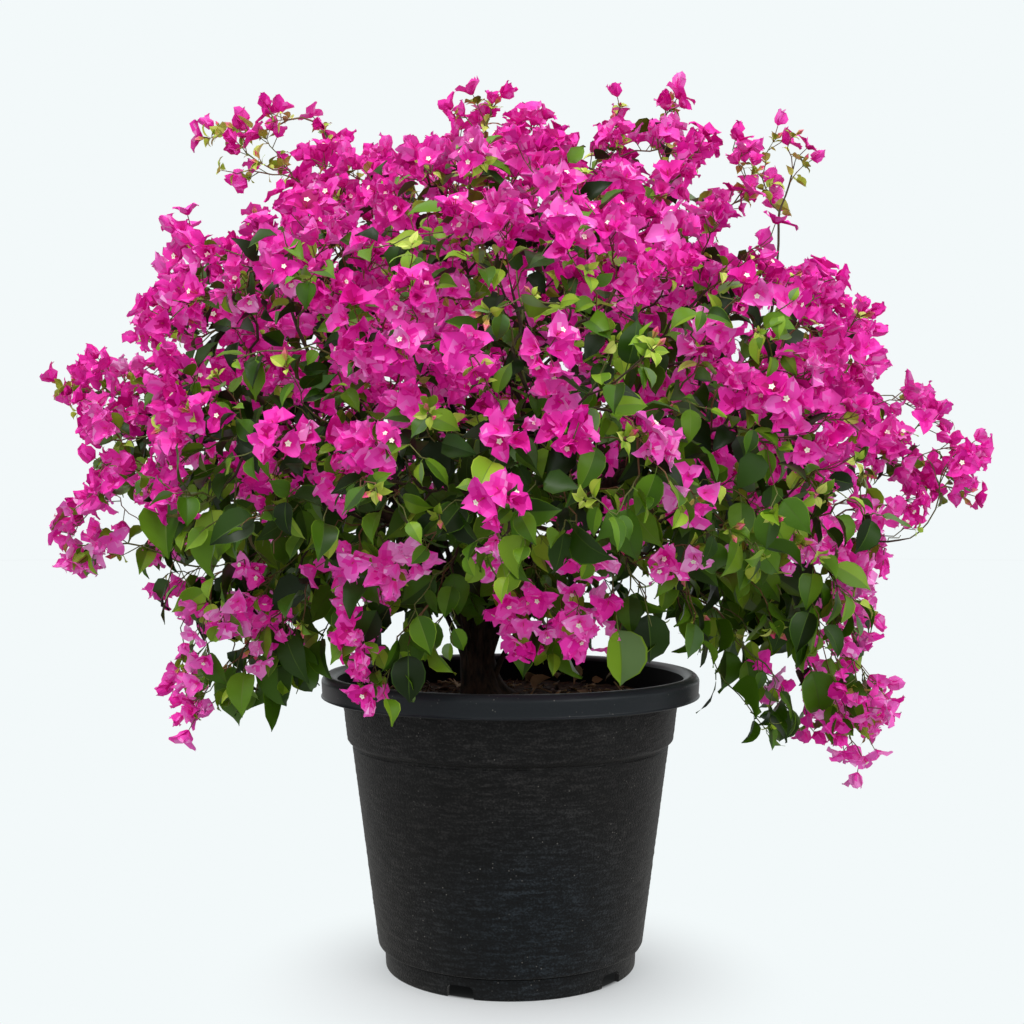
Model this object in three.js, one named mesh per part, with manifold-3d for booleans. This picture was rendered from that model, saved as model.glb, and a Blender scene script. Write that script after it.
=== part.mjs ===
// A bougainvillea bush in a round nursery pot: pot, soil, trunk, boughs and masses of foliage.
// Millimetres, +Z up. The origin is on the ground under the middle of the bush, which is also
// the pot's axis. The front looks to -Y, and azimuths turn anticlockwise from +X.
import * as THREE from 'three';
import { mergeVertices } from 'three/addons/utils/BufferGeometryUtils.js';
import Module from 'manifold-3d';

const wasm = await Module();
wasm.setup();

// ---- driving dimensions -------------------------------------------------------------------
const GAP = 0.3; // clearance between pieces that touch
const CUT_GAP = 0.35; // clearance that a cut leaves round the piece it is cut by

const POT_SEGMENTS = 36;
const POT_HEIGHT = 322;
const RIM_RADIUS = 210; // widest line of the rolled rim
const RIM_DEPTH = 25; // height of the roll
const RIM_STEPS = 4; // facets of its rounded edge
const MOUTH_RADIUS = 199;
const NECK_RADIUS = 186; // wall just under the rim
const COLLAR_FOOT = 252; // the plain collar ends here
const COLLAR_RADIUS = 180.5; // and is this wide there
const SHOULDER = 240; // the body begins here, below a sloping step
const SHOULDER_RADIUS = 175.5;
const BODY_FOOT = 25;
const BODY_FOOT_RADIUS = 146.5;
const FOOT_RADIUS = 139.5; // the foot ring stands in from the body
const FOOT_WALL = 7;
const WALL = 4;
const FLOOR_UNDERSIDE = 18;
const FLOOR_TOP = 22;
const NOTCHES = 5; // drainage notches in the foot ring
const NOTCH_WIDTH = 34;
const NOTCH_HEIGHT = 16;
const FIRST_NOTCH = -112; // azimuth in degrees

const SOIL_LEVEL = 292;

const TRUNK_FOOT = new THREE.Vector3(-32, 3, SOIL_LEVEL + GAP);
const TRUNK_FORK = new THREE.Vector3(-38, 2, 358);
const TRUNK_LEAN = 5; // how far the middle of the trunk bows to -X
const TRUNK_SIDES = 15;
const TRUNK_RINGS = 7;
const TRUNK_FOOT_RADIUS = 22;
const TRUNK_FORK_RADIUS = 18;
const ROOT_FLARE = 10; // extra radius at the soil
const ROOT_FLARE_SHARE = 0.14; // share of the trunk's height over which the flare fades
const ROOT_LOBES = 5;
const ROOT_LOBE_DEPTH = 0.1;

const BOUGH_SIDES = 7;
const BOUGH_RINGS = 5;
const BOUGH_TAPER = 0.55; // tip radius over foot radius
const BOUGH_START = 0.75; // share of the trunk's height at which the boughs part
const BOUGH_LEAN = 0.12; // share of its way out that a bough covers while it rises by its lift
const BOUGH_ARCH = 0.45; // share of its way out over which it levels
const BOUGH_SLOPE = 0.2; // rise over run at its tip
const LEAST_PIECE = 500; // smallest piece of a cut bough that counts, in cubic millimetres

const LUMP = 0.1; // unevenness, as a share of a mass's radius

// A bough grows from the trunk's fork, or from another bough at a share of its length. It rises
// by lift and then leans out to its azimuth. reach and height are where its axis ends, inside
// the mass that hides its tip, and radius is at its foot.
const BOUGHS = [
  { name: 'bough_left', azimuth: 178, reach: 290, height: 575, radius: 12, lift: 110 },
  { name: 'bough_right', azimuth: -3, reach: 290, height: 580, radius: 13, lift: 95 },
  { name: 'bough_middle', azimuth: 55, reach: 50, height: 600, radius: 11, lift: 100 },
  { name: 'bough_front', azimuth: -82, reach: 250, height: 560, radius: 9, lift: 100 },
  { name: 'bough_back', azimuth: 92, reach: 260, height: 590, radius: 9.5, lift: 110 },
  { name: 'bough_front_left', azimuth: -138, reach: 260, height: 570, radius: 8, lift: 60,
    from: 'bough_left', at: 0.22 },
  { name: 'bough_back_left', azimuth: 138, reach: 270, height: 590, radius: 8, lift: 60,
    from: 'bough_left', at: 0.3 },
  { name: 'bough_front_right', azimuth: -44, reach: 270, height: 575, radius: 8, lift: 60,
    from: 'bough_right', at: 0.22 },
  { name: 'bough_back_right', azimuth: 42, reach: 280, height: 590, radius: 8, lift: 60,
    from: 'bough_right', at: 0.3 },
];

// A mass is placed by the azimuth, reach and height of its centre. out, side and tall are its
// half sizes away from the axis, round the axis and upwards. droop tips its outer end down, in
// degrees, and point narrows that end. detail is the subdivision of its icosahedron.
const LARGE = { detail: 2, droop: 0, point: 0 };
const SMALL = { detail: 1, droop: 0, point: 0 };
const LEAFY = { material: 'leaf' }; // more leaves than blossom

const MASSES = [
  // the heart of the bush, hidden by the others
  { ...SMALL, ...LEAFY, name: 'foliage_heart_upper', azimuth: 0, reach: 0, height: 720,
    out: 170, side: 170, tall: 80 },
  { ...SMALL, ...LEAFY, name: 'foliage_heart_lower', azimuth: 0, reach: 0, height: 585,
    out: 190, side: 190, tall: 70 },
  // the dome
  { ...LARGE, name: 'foliage_top_middle', azimuth: 100, reach: 15, height: 855,
    out: 110, side: 115, tall: 95 },
  { ...LARGE, name: 'foliage_top_right', azimuth: -12, reach: 160, height: 842,
    out: 105, side: 130, tall: 100 },
  { ...LARGE, name: 'foliage_top_left', azimuth: 182, reach: 165, height: 820,
    out: 105, side: 130, tall: 92 },
  { ...LARGE, name: 'foliage_top_front', azimuth: -92, reach: 165, height: 800,
    out: 110, side: 140, tall: 92 },
  { ...LARGE, name: 'foliage_top_back', azimuth: 88, reach: 170, height: 812,
    out: 110, side: 140, tall: 92 },
  // the shoulders
  { ...LARGE, name: 'foliage_shoulder_right', azimuth: 0, reach: 285, height: 702,
    out: 128, side: 135, tall: 95, droop: 12 },
  { ...LARGE, name: 'foliage_shoulder_back_right', azimuth: 45, reach: 295, height: 725,
    out: 120, side: 140, tall: 95 },
  { ...LARGE, name: 'foliage_shoulder_back', azimuth: 90, reach: 305, height: 720,
    out: 115, side: 140, tall: 95 },
  { ...LARGE, name: 'foliage_shoulder_back_left', azimuth: 135, reach: 295, height: 735,
    out: 120, side: 140, tall: 95 },
  { ...LARGE, name: 'foliage_shoulder_left', azimuth: 180, reach: 285, height: 722,
    out: 125, side: 135, tall: 95, droop: 14 },
  { ...LARGE, name: 'foliage_shoulder_front_left', azimuth: 225, reach: 290, height: 725,
    out: 120, side: 140, tall: 95 },
  { ...LARGE, name: 'foliage_shoulder_front', azimuth: 270, reach: 300, height: 705,
    out: 115, side: 140, tall: 95 },
  { ...LARGE, name: 'foliage_shoulder_front_right', azimuth: 315, reach: 285, height: 705,
    out: 120, side: 140, tall: 95 },
  // the waist
  { ...LARGE, name: 'foliage_waist_right', azimuth: 0, reach: 330, height: 590,
    out: 120, side: 145, tall: 90 },
  { ...LARGE, name: 'foliage_waist_back_right', azimuth: 45, reach: 335, height: 600,
    out: 115, side: 145, tall: 90 },
  { ...LARGE, name: 'foliage_waist_back', azimuth: 90, reach: 335, height: 605,
    out: 110, side: 140, tall: 85 },
  { ...LARGE, name: 'foliage_waist_back_left', azimuth: 135, reach: 335, height: 600,
    out: 115, side: 145, tall: 90 },
  { ...LARGE, name: 'foliage_waist_left', azimuth: 180, reach: 355, height: 590,
    out: 125, side: 145, tall: 95 },
  { ...LARGE, name: 'foliage_waist_front_left', azimuth: 225, reach: 335, height: 580,
    out: 115, side: 145, tall: 95 },
  { ...LARGE, name: 'foliage_waist_front', azimuth: 270, reach: 345, height: 560,
    out: 105, side: 140, tall: 92 },
  { ...LARGE, name: 'foliage_waist_front_right', azimuth: 315, reach: 335, height: 575,
    out: 115, side: 145, tall: 95 },
  // the skirt that weeps round the pot
  { ...LARGE, ...LEAFY, name: 'foliage_skirt_left', azimuth: 188, reach: 315, height: 440,
    out: 85, side: 110, tall: 100 },
  { ...LARGE, ...LEAFY, name: 'foliage_skirt_back_left', azimuth: 142, reach: 340, height: 460,
    out: 80, side: 110, tall: 85 },
  { ...LARGE, ...LEAFY, name: 'foliage_skirt_back_right', azimuth: 38, reach: 340, height: 460,
    out: 80, side: 110, tall: 85 },
  { ...LARGE, ...LEAFY, name: 'foliage_skirt_right', azimuth: -8, reach: 300, height: 440,
    out: 90, side: 110, tall: 105 },
  { ...LARGE, ...LEAFY, name: 'foliage_skirt_front_left', azimuth: 238, reach: 250, height: 452,
    out: 62, side: 85, tall: 76 },
  { ...LARGE, ...LEAFY, name: 'foliage_skirt_front_right', azimuth: 305, reach: 225, height: 442,
    out: 62, side: 72, tall: 82 },
  // sprigs that stand clear, and make the furthest tips
  { ...SMALL, name: 'foliage_sprig_top', azimuth: 180, reach: 36, height: 946,
    out: 38, side: 28, tall: 30 },
  { ...SMALL, name: 'foliage_sprig_top_right', azimuth: 0, reach: 150, height: 945,
    out: 55, side: 38, tall: 38 },
  { ...SMALL, name: 'foliage_sprig_top_left', azimuth: 178, reach: 205, height: 915,
    out: 42, side: 32, tall: 40 },
  { ...SMALL, name: 'foliage_spray_upper_left', azimuth: 178, reach: 288, height: 903,
    out: 90, side: 48, tall: 55, droop: -25, point: 0.2 },
  { ...SMALL, name: 'foliage_spray_upper_right', azimuth: 2, reach: 285, height: 880,
    out: 72, side: 42, tall: 60, droop: -25, point: 0.1 },
  { ...SMALL, name: 'foliage_tip_left', azimuth: 177, reach: 470, height: 645,
    out: 66, side: 45, tall: 54, droop: 8, point: 0.3 },
  { ...SMALL, name: 'foliage_tip_right', azimuth: -3, reach: 460, height: 583,
    out: 85, side: 50, tall: 62, droop: 35, point: 0.2 },
  { ...SMALL, name: 'foliage_tip_front', azimuth: -75, reach: 412, height: 640,
    out: 55, side: 50, tall: 42, droop: 15, point: 0.2 },
  { ...SMALL, name: 'foliage_tip_back', azimuth: 100, reach: 414, height: 660,
    out: 48, side: 55, tall: 45, droop: 10, point: 0.2 },
  { ...SMALL, name: 'foliage_spray_right', azimuth: -2, reach: 420, height: 484,
    out: 52, side: 48, tall: 66 },
  { ...SMALL, name: 'foliage_spray_left', azimuth: 183, reach: 450, height: 473,
    out: 62, side: 42, tall: 50, droop: 15, point: 0.2 },
  { ...SMALL, name: 'foliage_hanging_left', azimuth: 196, reach: 312, height: 314,
    out: 80, side: 50, tall: 60, droop: 15 },
  { ...SMALL, name: 'foliage_hanging_inner_left', azimuth: 203, reach: 252, height: 375,
    out: 34, side: 45, tall: 72 },
  { ...SMALL, name: 'foliage_hanging_front_left', azimuth: 242, reach: 265, height: 355,
    out: 32, side: 42, tall: 46 },
  { ...SMALL, name: 'foliage_hanging_front', azimuth: 282, reach: 178, height: 400,
    out: 40, side: 62, tall: 70 },
  { ...SMALL, name: 'foliage_hanging_inner_right', azimuth: -24, reach: 208, height: 388,
    out: 36, side: 40, tall: 54 },
  { ...SMALL, name: 'foliage_hanging_right', azimuth: -14, reach: 285, height: 300,
    out: 48, side: 50, tall: 62 },
  { ...SMALL, name: 'foliage_hanging_far_right', azimuth: -5, reach: 382, height: 306,
    out: 60, side: 48, tall: 94, droop: 10 },
];

// ---- geometry helpers ---------------------------------------------------------------------
const radians = THREE.MathUtils.degToRad;

function polar(azimuth, reach, height) {
  const angle = radians(azimuth);
  return new THREE.Vector3(reach * Math.cos(angle), reach * Math.sin(angle), height);
}

// Merges the shared vertices, drops the flat triangles at the poles and turns the faces outwards.
function weld(source) {
  const geometry = source.clone();
  geometry.deleteAttribute('normal');
  geometry.deleteAttribute('uv');
  const merged = mergeVertices(geometry);
  const position = merged.getAttribute('position');
  const corner = [new THREE.Vector3(), new THREE.Vector3(), new THREE.Vector3()];
  const index = merged.getIndex().array;
  const kept = [];
  let volume = 0;
  for (let i = 0; i < index.length; i += 3) {
    const face = [index[i], index[i + 1], index[i + 2]];
    if (new Set(face).size === 3) {
      face.forEach((v, k) => corner[k].fromBufferAttribute(position, v));
      volume += corner[0].dot(corner[1].cross(corner[2]));
      kept.push(face);
    }
  }
  merged.setIndex(kept.flatMap(([a, b, c]) => (volume > 0 ? [a, b, c] : [a, c, b])));
  return merged;
}

function toSolid(geometry) {
  const welded = weld(geometry);
  return new wasm.Manifold(new wasm.Mesh({
    numProp: 3,
    vertProperties: new Float32Array(welded.getAttribute('position').array),
    triVerts: new Uint32Array(welded.getIndex().array),
  }));
}

function toGeometry(solid) {
  const mesh = solid.getMesh();
  const geometry = new THREE.BufferGeometry();
  geometry.setAttribute('position', new THREE.BufferAttribute(new Float32Array(mesh.vertProperties), 3));
  geometry.setIndex(new THREE.BufferAttribute(new Uint32Array(mesh.triVerts), 1));
  return geometry;
}

// A closed lathe about +Z from a profile of [radius, height] pairs.
function turned(profile, segments) {
  const points = profile.map(([radius, height]) => new THREE.Vector2(radius, height));
  return new THREE.LatheGeometry(points, segments).rotateX(Math.PI / 2);
}

// ---- pot and soil -------------------------------------------------------------------------
const innerWall = [
  [BODY_FOOT_RADIUS - WALL, FLOOR_TOP],
  [SHOULDER_RADIUS - WALL, SHOULDER],
  [COLLAR_RADIUS - WALL, COLLAR_FOOT],
  [NECK_RADIUS - WALL, SOIL_LEVEL],
];

function potGeometry() {
  const rimFoot = POT_HEIGHT - RIM_DEPTH;
  const lip = RIM_RADIUS - MOUTH_RADIUS;
  const roll = [];
  for (let i = 0; i <= RIM_STEPS; i++) {
    const angle = (i / RIM_STEPS) * (Math.PI / 2);
    roll.push([MOUTH_RADIUS + lip * Math.cos(angle), POT_HEIGHT - lip + lip * Math.sin(angle)]);
  }
  const outerWall = [
    [0, FLOOR_UNDERSIDE],
    [FOOT_RADIUS - FOOT_WALL, FLOOR_UNDERSIDE],
    [FOOT_RADIUS - FOOT_WALL, 0],
    [FOOT_RADIUS - 1, 0],
    [FOOT_RADIUS, BODY_FOOT - 2],
    [BODY_FOOT_RADIUS, BODY_FOOT],
    [SHOULDER_RADIUS, SHOULDER],
    [COLLAR_RADIUS, COLLAR_FOOT],
    [NECK_RADIUS, rimFoot],
    [RIM_RADIUS, rimFoot],
  ];
  const inside = [...innerWall].reverse();
  const body = toSolid(turned([...outerWall, ...roll, ...inside, [0, FLOOR_TOP]], POT_SEGMENTS));
  const cutters = [];
  for (let i = 0; i < NOTCHES; i++) {
    const azimuth = FIRST_NOTCH + (360 / NOTCHES) * i;
    const notch = new THREE.BoxGeometry(4 * FOOT_WALL, NOTCH_WIDTH, 2 * NOTCH_HEIGHT);
    notch.translate(FOOT_RADIUS - FOOT_WALL / 2, 0, 0);
    cutters.push(toSolid(notch.rotateZ(radians(azimuth))));
  }
  return toGeometry(cutters.reduce((solid, cutter) => solid.subtract(cutter), body));
}

function soilGeometry() {
  const side = innerWall.map(([radius, height]) => [radius - GAP, height]);
  side[0][1] = FLOOR_TOP + GAP;
  return weld(turned([[0, FLOOR_TOP + GAP], ...side, [0, SOIL_LEVEL]], POT_SEGMENTS));
}

// ---- trunk and boughs ---------------------------------------------------------------------

// A closed round tube bent along a curve. radiusAt(t, angle) gives its radius, and place(t)
// gives the middle of its section and the two directions that span it.
function limbGeometry(place, radiusAt, sides, rings) {
  const profile = [[0, 0]];
  for (let i = 0; i <= rings; i++) {
    profile.push([1, i / rings]);
  }
  profile.push([0, 1]);
  const geometry = turned(profile, sides);
  const position = geometry.getAttribute('position');
  const point = new THREE.Vector3();
  for (let i = 0; i < position.count; i++) {
    point.fromBufferAttribute(position, i);
    const t = THREE.MathUtils.clamp(point.z, 0, 1);
    const angle = Math.atan2(point.y, point.x);
    const offset = Math.hypot(point.x, point.y) * radiusAt(t, angle);
    const { middle, across, along } = place(t);
    const moved = middle.clone();
    moved.addScaledVector(across, offset * Math.cos(angle));
    moved.addScaledVector(along, offset * Math.sin(angle));
    position.setXYZ(i, moved.x, moved.y, moved.z);
  }
  return weld(geometry);
}

// The trunk's sections are level, so that its foot is a flat cut on the soil.
const trunkMiddle = TRUNK_FOOT.clone().lerp(TRUNK_FORK, 0.5).setX(TRUNK_FOOT.x - TRUNK_LEAN);
const trunkCurve = new THREE.QuadraticBezierCurve3(TRUNK_FOOT, trunkMiddle, TRUNK_FORK);

function trunkGeometry(extra = 0) {
  const across = new THREE.Vector3(1, 0, 0);
  const along = new THREE.Vector3(0, 1, 0);
  const radiusAt = (t, angle) => {
    const flare = ROOT_FLARE * Math.exp(-t / ROOT_FLARE_SHARE);
    const lobes = 1 + ROOT_LOBE_DEPTH * (1 - t) * Math.cos(ROOT_LOBES * angle);
    return (THREE.MathUtils.lerp(TRUNK_FOOT_RADIUS, TRUNK_FORK_RADIUS, t) + flare) * lobes + extra;
  };
  const place = (t) => {
    const middle = trunkCurve.getPointAt(t);
    middle.z += extra * (2 * t - 1);
    return { middle, across, along };
  };
  return limbGeometry(place, radiusAt, TRUNK_SIDES, TRUNK_RINGS);
}

const boughCurves = {};

function boughCurve({ name, azimuth, reach, height, lift, from, at = BOUGH_START }) {
  const parent = from ? boughCurves[from] : trunkCurve;
  const start = parent.getPointAt(at);
  const end = polar(azimuth, reach, height);
  const outward = end.clone().sub(start).setZ(0);
  const rising = start.clone().addScaledVector(outward, BOUGH_LEAN);
  rising.z += lift;
  const leaning = end.clone().addScaledVector(outward, -BOUGH_ARCH);
  leaning.z -= BOUGH_ARCH * BOUGH_SLOPE * reach;
  boughCurves[name] = new THREE.CubicBezierCurve3(start, rising, leaning, end);
  return boughCurves[name];
}

function boughGeometry(curve, radius, extra = 0) {
  const frames = curve.computeFrenetFrames(BOUGH_RINGS);
  const radiusAt = (t) => THREE.MathUtils.lerp(radius, radius * BOUGH_TAPER, t) + extra;
  const place = (t) => {
    const ring = Math.round(t * BOUGH_RINGS);
    const middle = curve.getPointAt(t);
    middle.addScaledVector(frames.tangents[ring], extra * (2 * t - 1));
    return { middle, across: frames.normals[ring], along: frames.binormals[ring] };
  };
  return limbGeometry(place, radiusAt, BOUGH_SIDES, BOUGH_RINGS);
}

// ---- foliage ------------------------------------------------------------------------------

// The centre, axes and half sizes of a mass, added to its row.
function placed(row) {
  const { azimuth, reach, height, out, side, tall, droop } = row;
  const outward = polar(azimuth, Math.cos(radians(droop)), -Math.sin(radians(droop)));
  const round = polar(azimuth + 90, 1, 0);
  const upward = new THREE.Vector3().crossVectors(outward, round);
  return {
    ...row,
    centre: polar(azimuth, reach, height),
    axes: [outward, round, upward],
    halves: [out, side, tall],
  };
}

// How far a mass reaches from its centre in a direction.
function supportOf({ axes, halves }, direction) {
  const parts = axes.map((axis, i) => axis.dot(direction) * halves[i]);
  return Math.hypot(...parts) * (1 + LUMP);
}

// The spread of a mass, as the 3 x 3 matrix whose ellipsoid has its axes and half sizes.
function spreadOf({ axes, halves }) {
  const spread = [0, 0, 0, 0, 0, 0, 0, 0, 0];
  axes.forEach((axis, i) => {
    const v = axis.toArray();
    for (let row = 0; row < 3; row++) {
      for (let column = 0; column < 3; column++) {
        spread[3 * row + column] += halves[i] ** 2 * v[row] * v[column];
      }
    }
  });
  return spread;
}

// The flat wall that parts two masses, seen from the first: its outward normal, and its distance
// from the first mass's centre. It lies across the direction in which the two overlap least.
function wallBetween(first, second) {
  const step = second.centre.clone().sub(first.centre);
  const a = spreadOf(first);
  const b = spreadOf(second);
  const sum = new THREE.Matrix3().set(...a.map((value, i) => value + b[i]));
  const normal = step.clone().applyMatrix3(sum.invert()).normalize();
  const near = supportOf(first, normal);
  const far = supportOf(second, normal);
  return { normal, distance: (normal.dot(step) * near) / (near + far) - CUT_GAP / 2 };
}

function unevenness(u, seed) {
  const broad = Math.sin(2.9 * u.x + seed) + Math.sin(3.3 * u.y + 2.3 * seed);
  const fine = Math.sin(5.1 * u.z + 3.7 * seed) + Math.cos(4.7 * (u.x - u.y) - seed);
  return 1 + LUMP * ((broad + fine) / 2);
}

// An uneven ball of its own sizes, flattened where it meets its neighbours.
function massGeometry(mass, walls, seed, extra = 0) {
  const geometry = weld(new THREE.IcosahedronGeometry(1, mass.detail));
  const position = geometry.getAttribute('position');
  const u = new THREE.Vector3();
  for (let i = 0; i < position.count; i++) {
    u.fromBufferAttribute(position, i);
    const size = unevenness(u, seed);
    const narrow = 1 - mass.point * Math.max(0, u.x);
    const local = [u.x * size, u.y * size * narrow, u.z * size * narrow];
    const point = new THREE.Vector3();
    mass.axes.forEach((axis, k) => point.addScaledVector(axis, local[k] * mass.halves[k]));
    walls.forEach(({ normal, distance }) => {
      const depth = normal.dot(point);
      if (depth > distance) {
        point.multiplyScalar(distance / depth);
      }
    });
    point.setLength(point.length() + extra).add(mass.centre);
    position.setXYZ(i, point.x, point.y, point.z);
  }
  return geometry;
}

// ---- assembly -----------------------------------------------------------------------------
const object = new THREE.Group();
object.name = 'potted_bougainvillea_bush';

const potMaterial = new THREE.MeshStandardMaterial({ color: 0x1c1d1f, roughness: 0.5 });
const soilMaterial = new THREE.MeshStandardMaterial({ color: 0x2b2018, roughness: 0.95 });
const barkMaterial = new THREE.MeshStandardMaterial({ color: 0x43362b, roughness: 0.9 });
const leafMaterial = new THREE.MeshStandardMaterial({ color: 0x47591f, roughness: 0.55 });
const blossomMaterial = new THREE.MeshStandardMaterial({ color: 0xb5337f, roughness: 0.6 });

function add(name, geometry, material) {
  const mesh = new THREE.Mesh(geometry, material);
  mesh.name = name;
  object.add(mesh);
}

add('pot', potGeometry(), potMaterial);
add('soil', soilGeometry(), soilMaterial);
add('trunk', trunkGeometry(), barkMaterial);

const masses = MASSES.map(placed);
const massCutters = masses.map((mass, seed) => {
  const walls = masses.filter((other) => other !== mass).map((other) => wallBetween(mass, other));
  const material = mass.material === LEAFY.material ? leafMaterial : blossomMaterial;
  add(mass.name, massGeometry(mass, walls, seed), material);
  return toSolid(massGeometry(mass, walls, seed, 2 * CUT_GAP));
});

// A bough is cut at the trunk, at the boughs before it and where it enters a mass, and the piece
// that holds its foot is kept.
const woodCutters = [toSolid(trunkGeometry(CUT_GAP))];
BOUGHS.forEach((row) => {
  const curve = boughCurve(row);
  const whole = toSolid(boughGeometry(curve, row.radius));
  const cut = [...woodCutters, ...massCutters].reduce((solid, cutter) => solid.subtract(cutter), whole);
  const footHeight = (piece) => piece.boundingBox().min[2];
  const pieces = cut.decompose().filter((piece) => piece.volume() > LEAST_PIECE);
  pieces.sort((p, q) => footHeight(p) - footHeight(q));
  add(row.name, toGeometry(pieces[0]), barkMaterial);
  woodCutters.push(toSolid(boughGeometry(curve, row.radius, CUT_GAP)));
});

export default object;
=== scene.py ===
"""The looks of a bougainvillea bush in its nursery pot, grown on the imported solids.

Metres, +Z up, the front to -Y. The limbs and the masses of foliage come from the frame. Twigs
grow from the boughs into the masses by a seeded branching rule, and carry leaves and blossom.
"""
import math

import bpy
import numpy as np
from mathutils import Matrix, Vector, noise
from mathutils.bvhtree import BVHTree


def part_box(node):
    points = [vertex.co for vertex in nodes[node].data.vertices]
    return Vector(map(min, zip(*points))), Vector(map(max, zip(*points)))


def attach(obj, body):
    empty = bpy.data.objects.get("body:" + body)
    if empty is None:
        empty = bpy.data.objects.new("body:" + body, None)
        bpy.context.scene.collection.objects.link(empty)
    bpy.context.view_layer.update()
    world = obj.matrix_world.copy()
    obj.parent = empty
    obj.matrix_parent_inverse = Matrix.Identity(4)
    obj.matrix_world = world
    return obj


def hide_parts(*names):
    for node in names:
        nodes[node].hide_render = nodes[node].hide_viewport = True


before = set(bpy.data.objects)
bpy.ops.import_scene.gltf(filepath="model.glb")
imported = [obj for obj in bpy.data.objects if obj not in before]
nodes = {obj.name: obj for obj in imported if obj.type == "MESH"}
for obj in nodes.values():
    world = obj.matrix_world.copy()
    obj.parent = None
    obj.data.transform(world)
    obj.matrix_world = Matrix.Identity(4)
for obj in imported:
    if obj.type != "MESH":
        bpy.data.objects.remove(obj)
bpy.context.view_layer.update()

SEED = 11
rng = np.random.default_rng(SEED)
UP = np.array([0.0, 0.0, 1.0])
TURN = 6.28  # a whole turn, for the random draws
GOLDEN_TURN = math.radians(137.5)  # between one leaf and the next round a twig

# ---- limbs, as in the CAD model ------------------------------------------------------------
TRUNK_RADII = (0.022, 0.018)  # above the root flare, and at the fork
ROOT_FLARE = 0.012
ROOT_FLARE_SHARE = 0.16
TRUNK_LEAN = 0.005
BOUGH_TAPER = 0.55
BOUGH_START = 0.75
BOUGH_LEAN = 0.12
BOUGH_ARCH = 0.45
BOUGH_SLOPE = 0.2
# name: azimuth, reach, height of the tip, foot radius, lift, parent, share of the parent's length
BOUGHS = {
    "bough_left": (178, 0.29, 0.575, 0.012, 0.11, None, BOUGH_START),
    "bough_right": (-3, 0.29, 0.58, 0.013, 0.095, None, BOUGH_START),
    "bough_middle": (55, 0.05, 0.6, 0.011, 0.1, None, BOUGH_START),
    "bough_front": (-82, 0.25, 0.56, 0.009, 0.1, None, BOUGH_START),
    "bough_back": (92, 0.26, 0.59, 0.0095, 0.11, None, BOUGH_START),
    "bough_front_left": (-138, 0.26, 0.57, 0.008, 0.06, "bough_left", 0.22),
    "bough_back_left": (138, 0.27, 0.59, 0.008, 0.06, "bough_left", 0.3),
    "bough_front_right": (-44, 0.27, 0.575, 0.008, 0.06, "bough_right", 0.22),
    "bough_back_right": (42, 0.28, 0.59, 0.008, 0.06, "bough_right", 0.3),
}


def unit(v):
    v = np.asarray(v, float)
    return v / np.maximum(np.linalg.norm(v, axis=-1, keepdims=True), 1e-9)


def polar(azimuth, reach, height):
    angle = math.radians(azimuth)
    return np.array([reach * math.cos(angle), reach * math.sin(angle), height])


# ---- materials -----------------------------------------------------------------------------
def srgb(red, green, blue):
    """A colour given as it looks, from 0 to 255, in Blender's linear units."""
    parts = [value / 255 for value in (red, green, blue)]
    return [p / 12.92 if p <= 0.04045 else ((p + 0.055) / 1.055) ** 2.4 for p in parts] + [1.0]


def plain(name, color, roughness, **sockets):
    """A material of one Principled shader with its values set on its own sockets."""
    material = bpy.data.materials.new(name)
    material.use_nodes = True
    shader = material.node_tree.nodes["Principled BSDF"]
    shader.inputs["Base Color"].default_value = color
    shader.inputs["Roughness"].default_value = roughness
    for socket, value in sockets.items():
        shader.inputs[socket.replace("_", " ")].default_value = value
    return material


def family(name, colors, roughness, glow=0.0, **sockets):
    """A numbered plain material for each colour. Its glow is painted light that stands for light
    shining through.
    """
    if not glow:
        return [plain(f"{name} {i + 1}", c, roughness, **sockets) for i, c in enumerate(colors)]
    return [plain(f"{name} {i + 1}", c, roughness, Emission_Color=c, Emission_Strength=glow,
                  **sockets) for i, c in enumerate(colors)]


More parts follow.
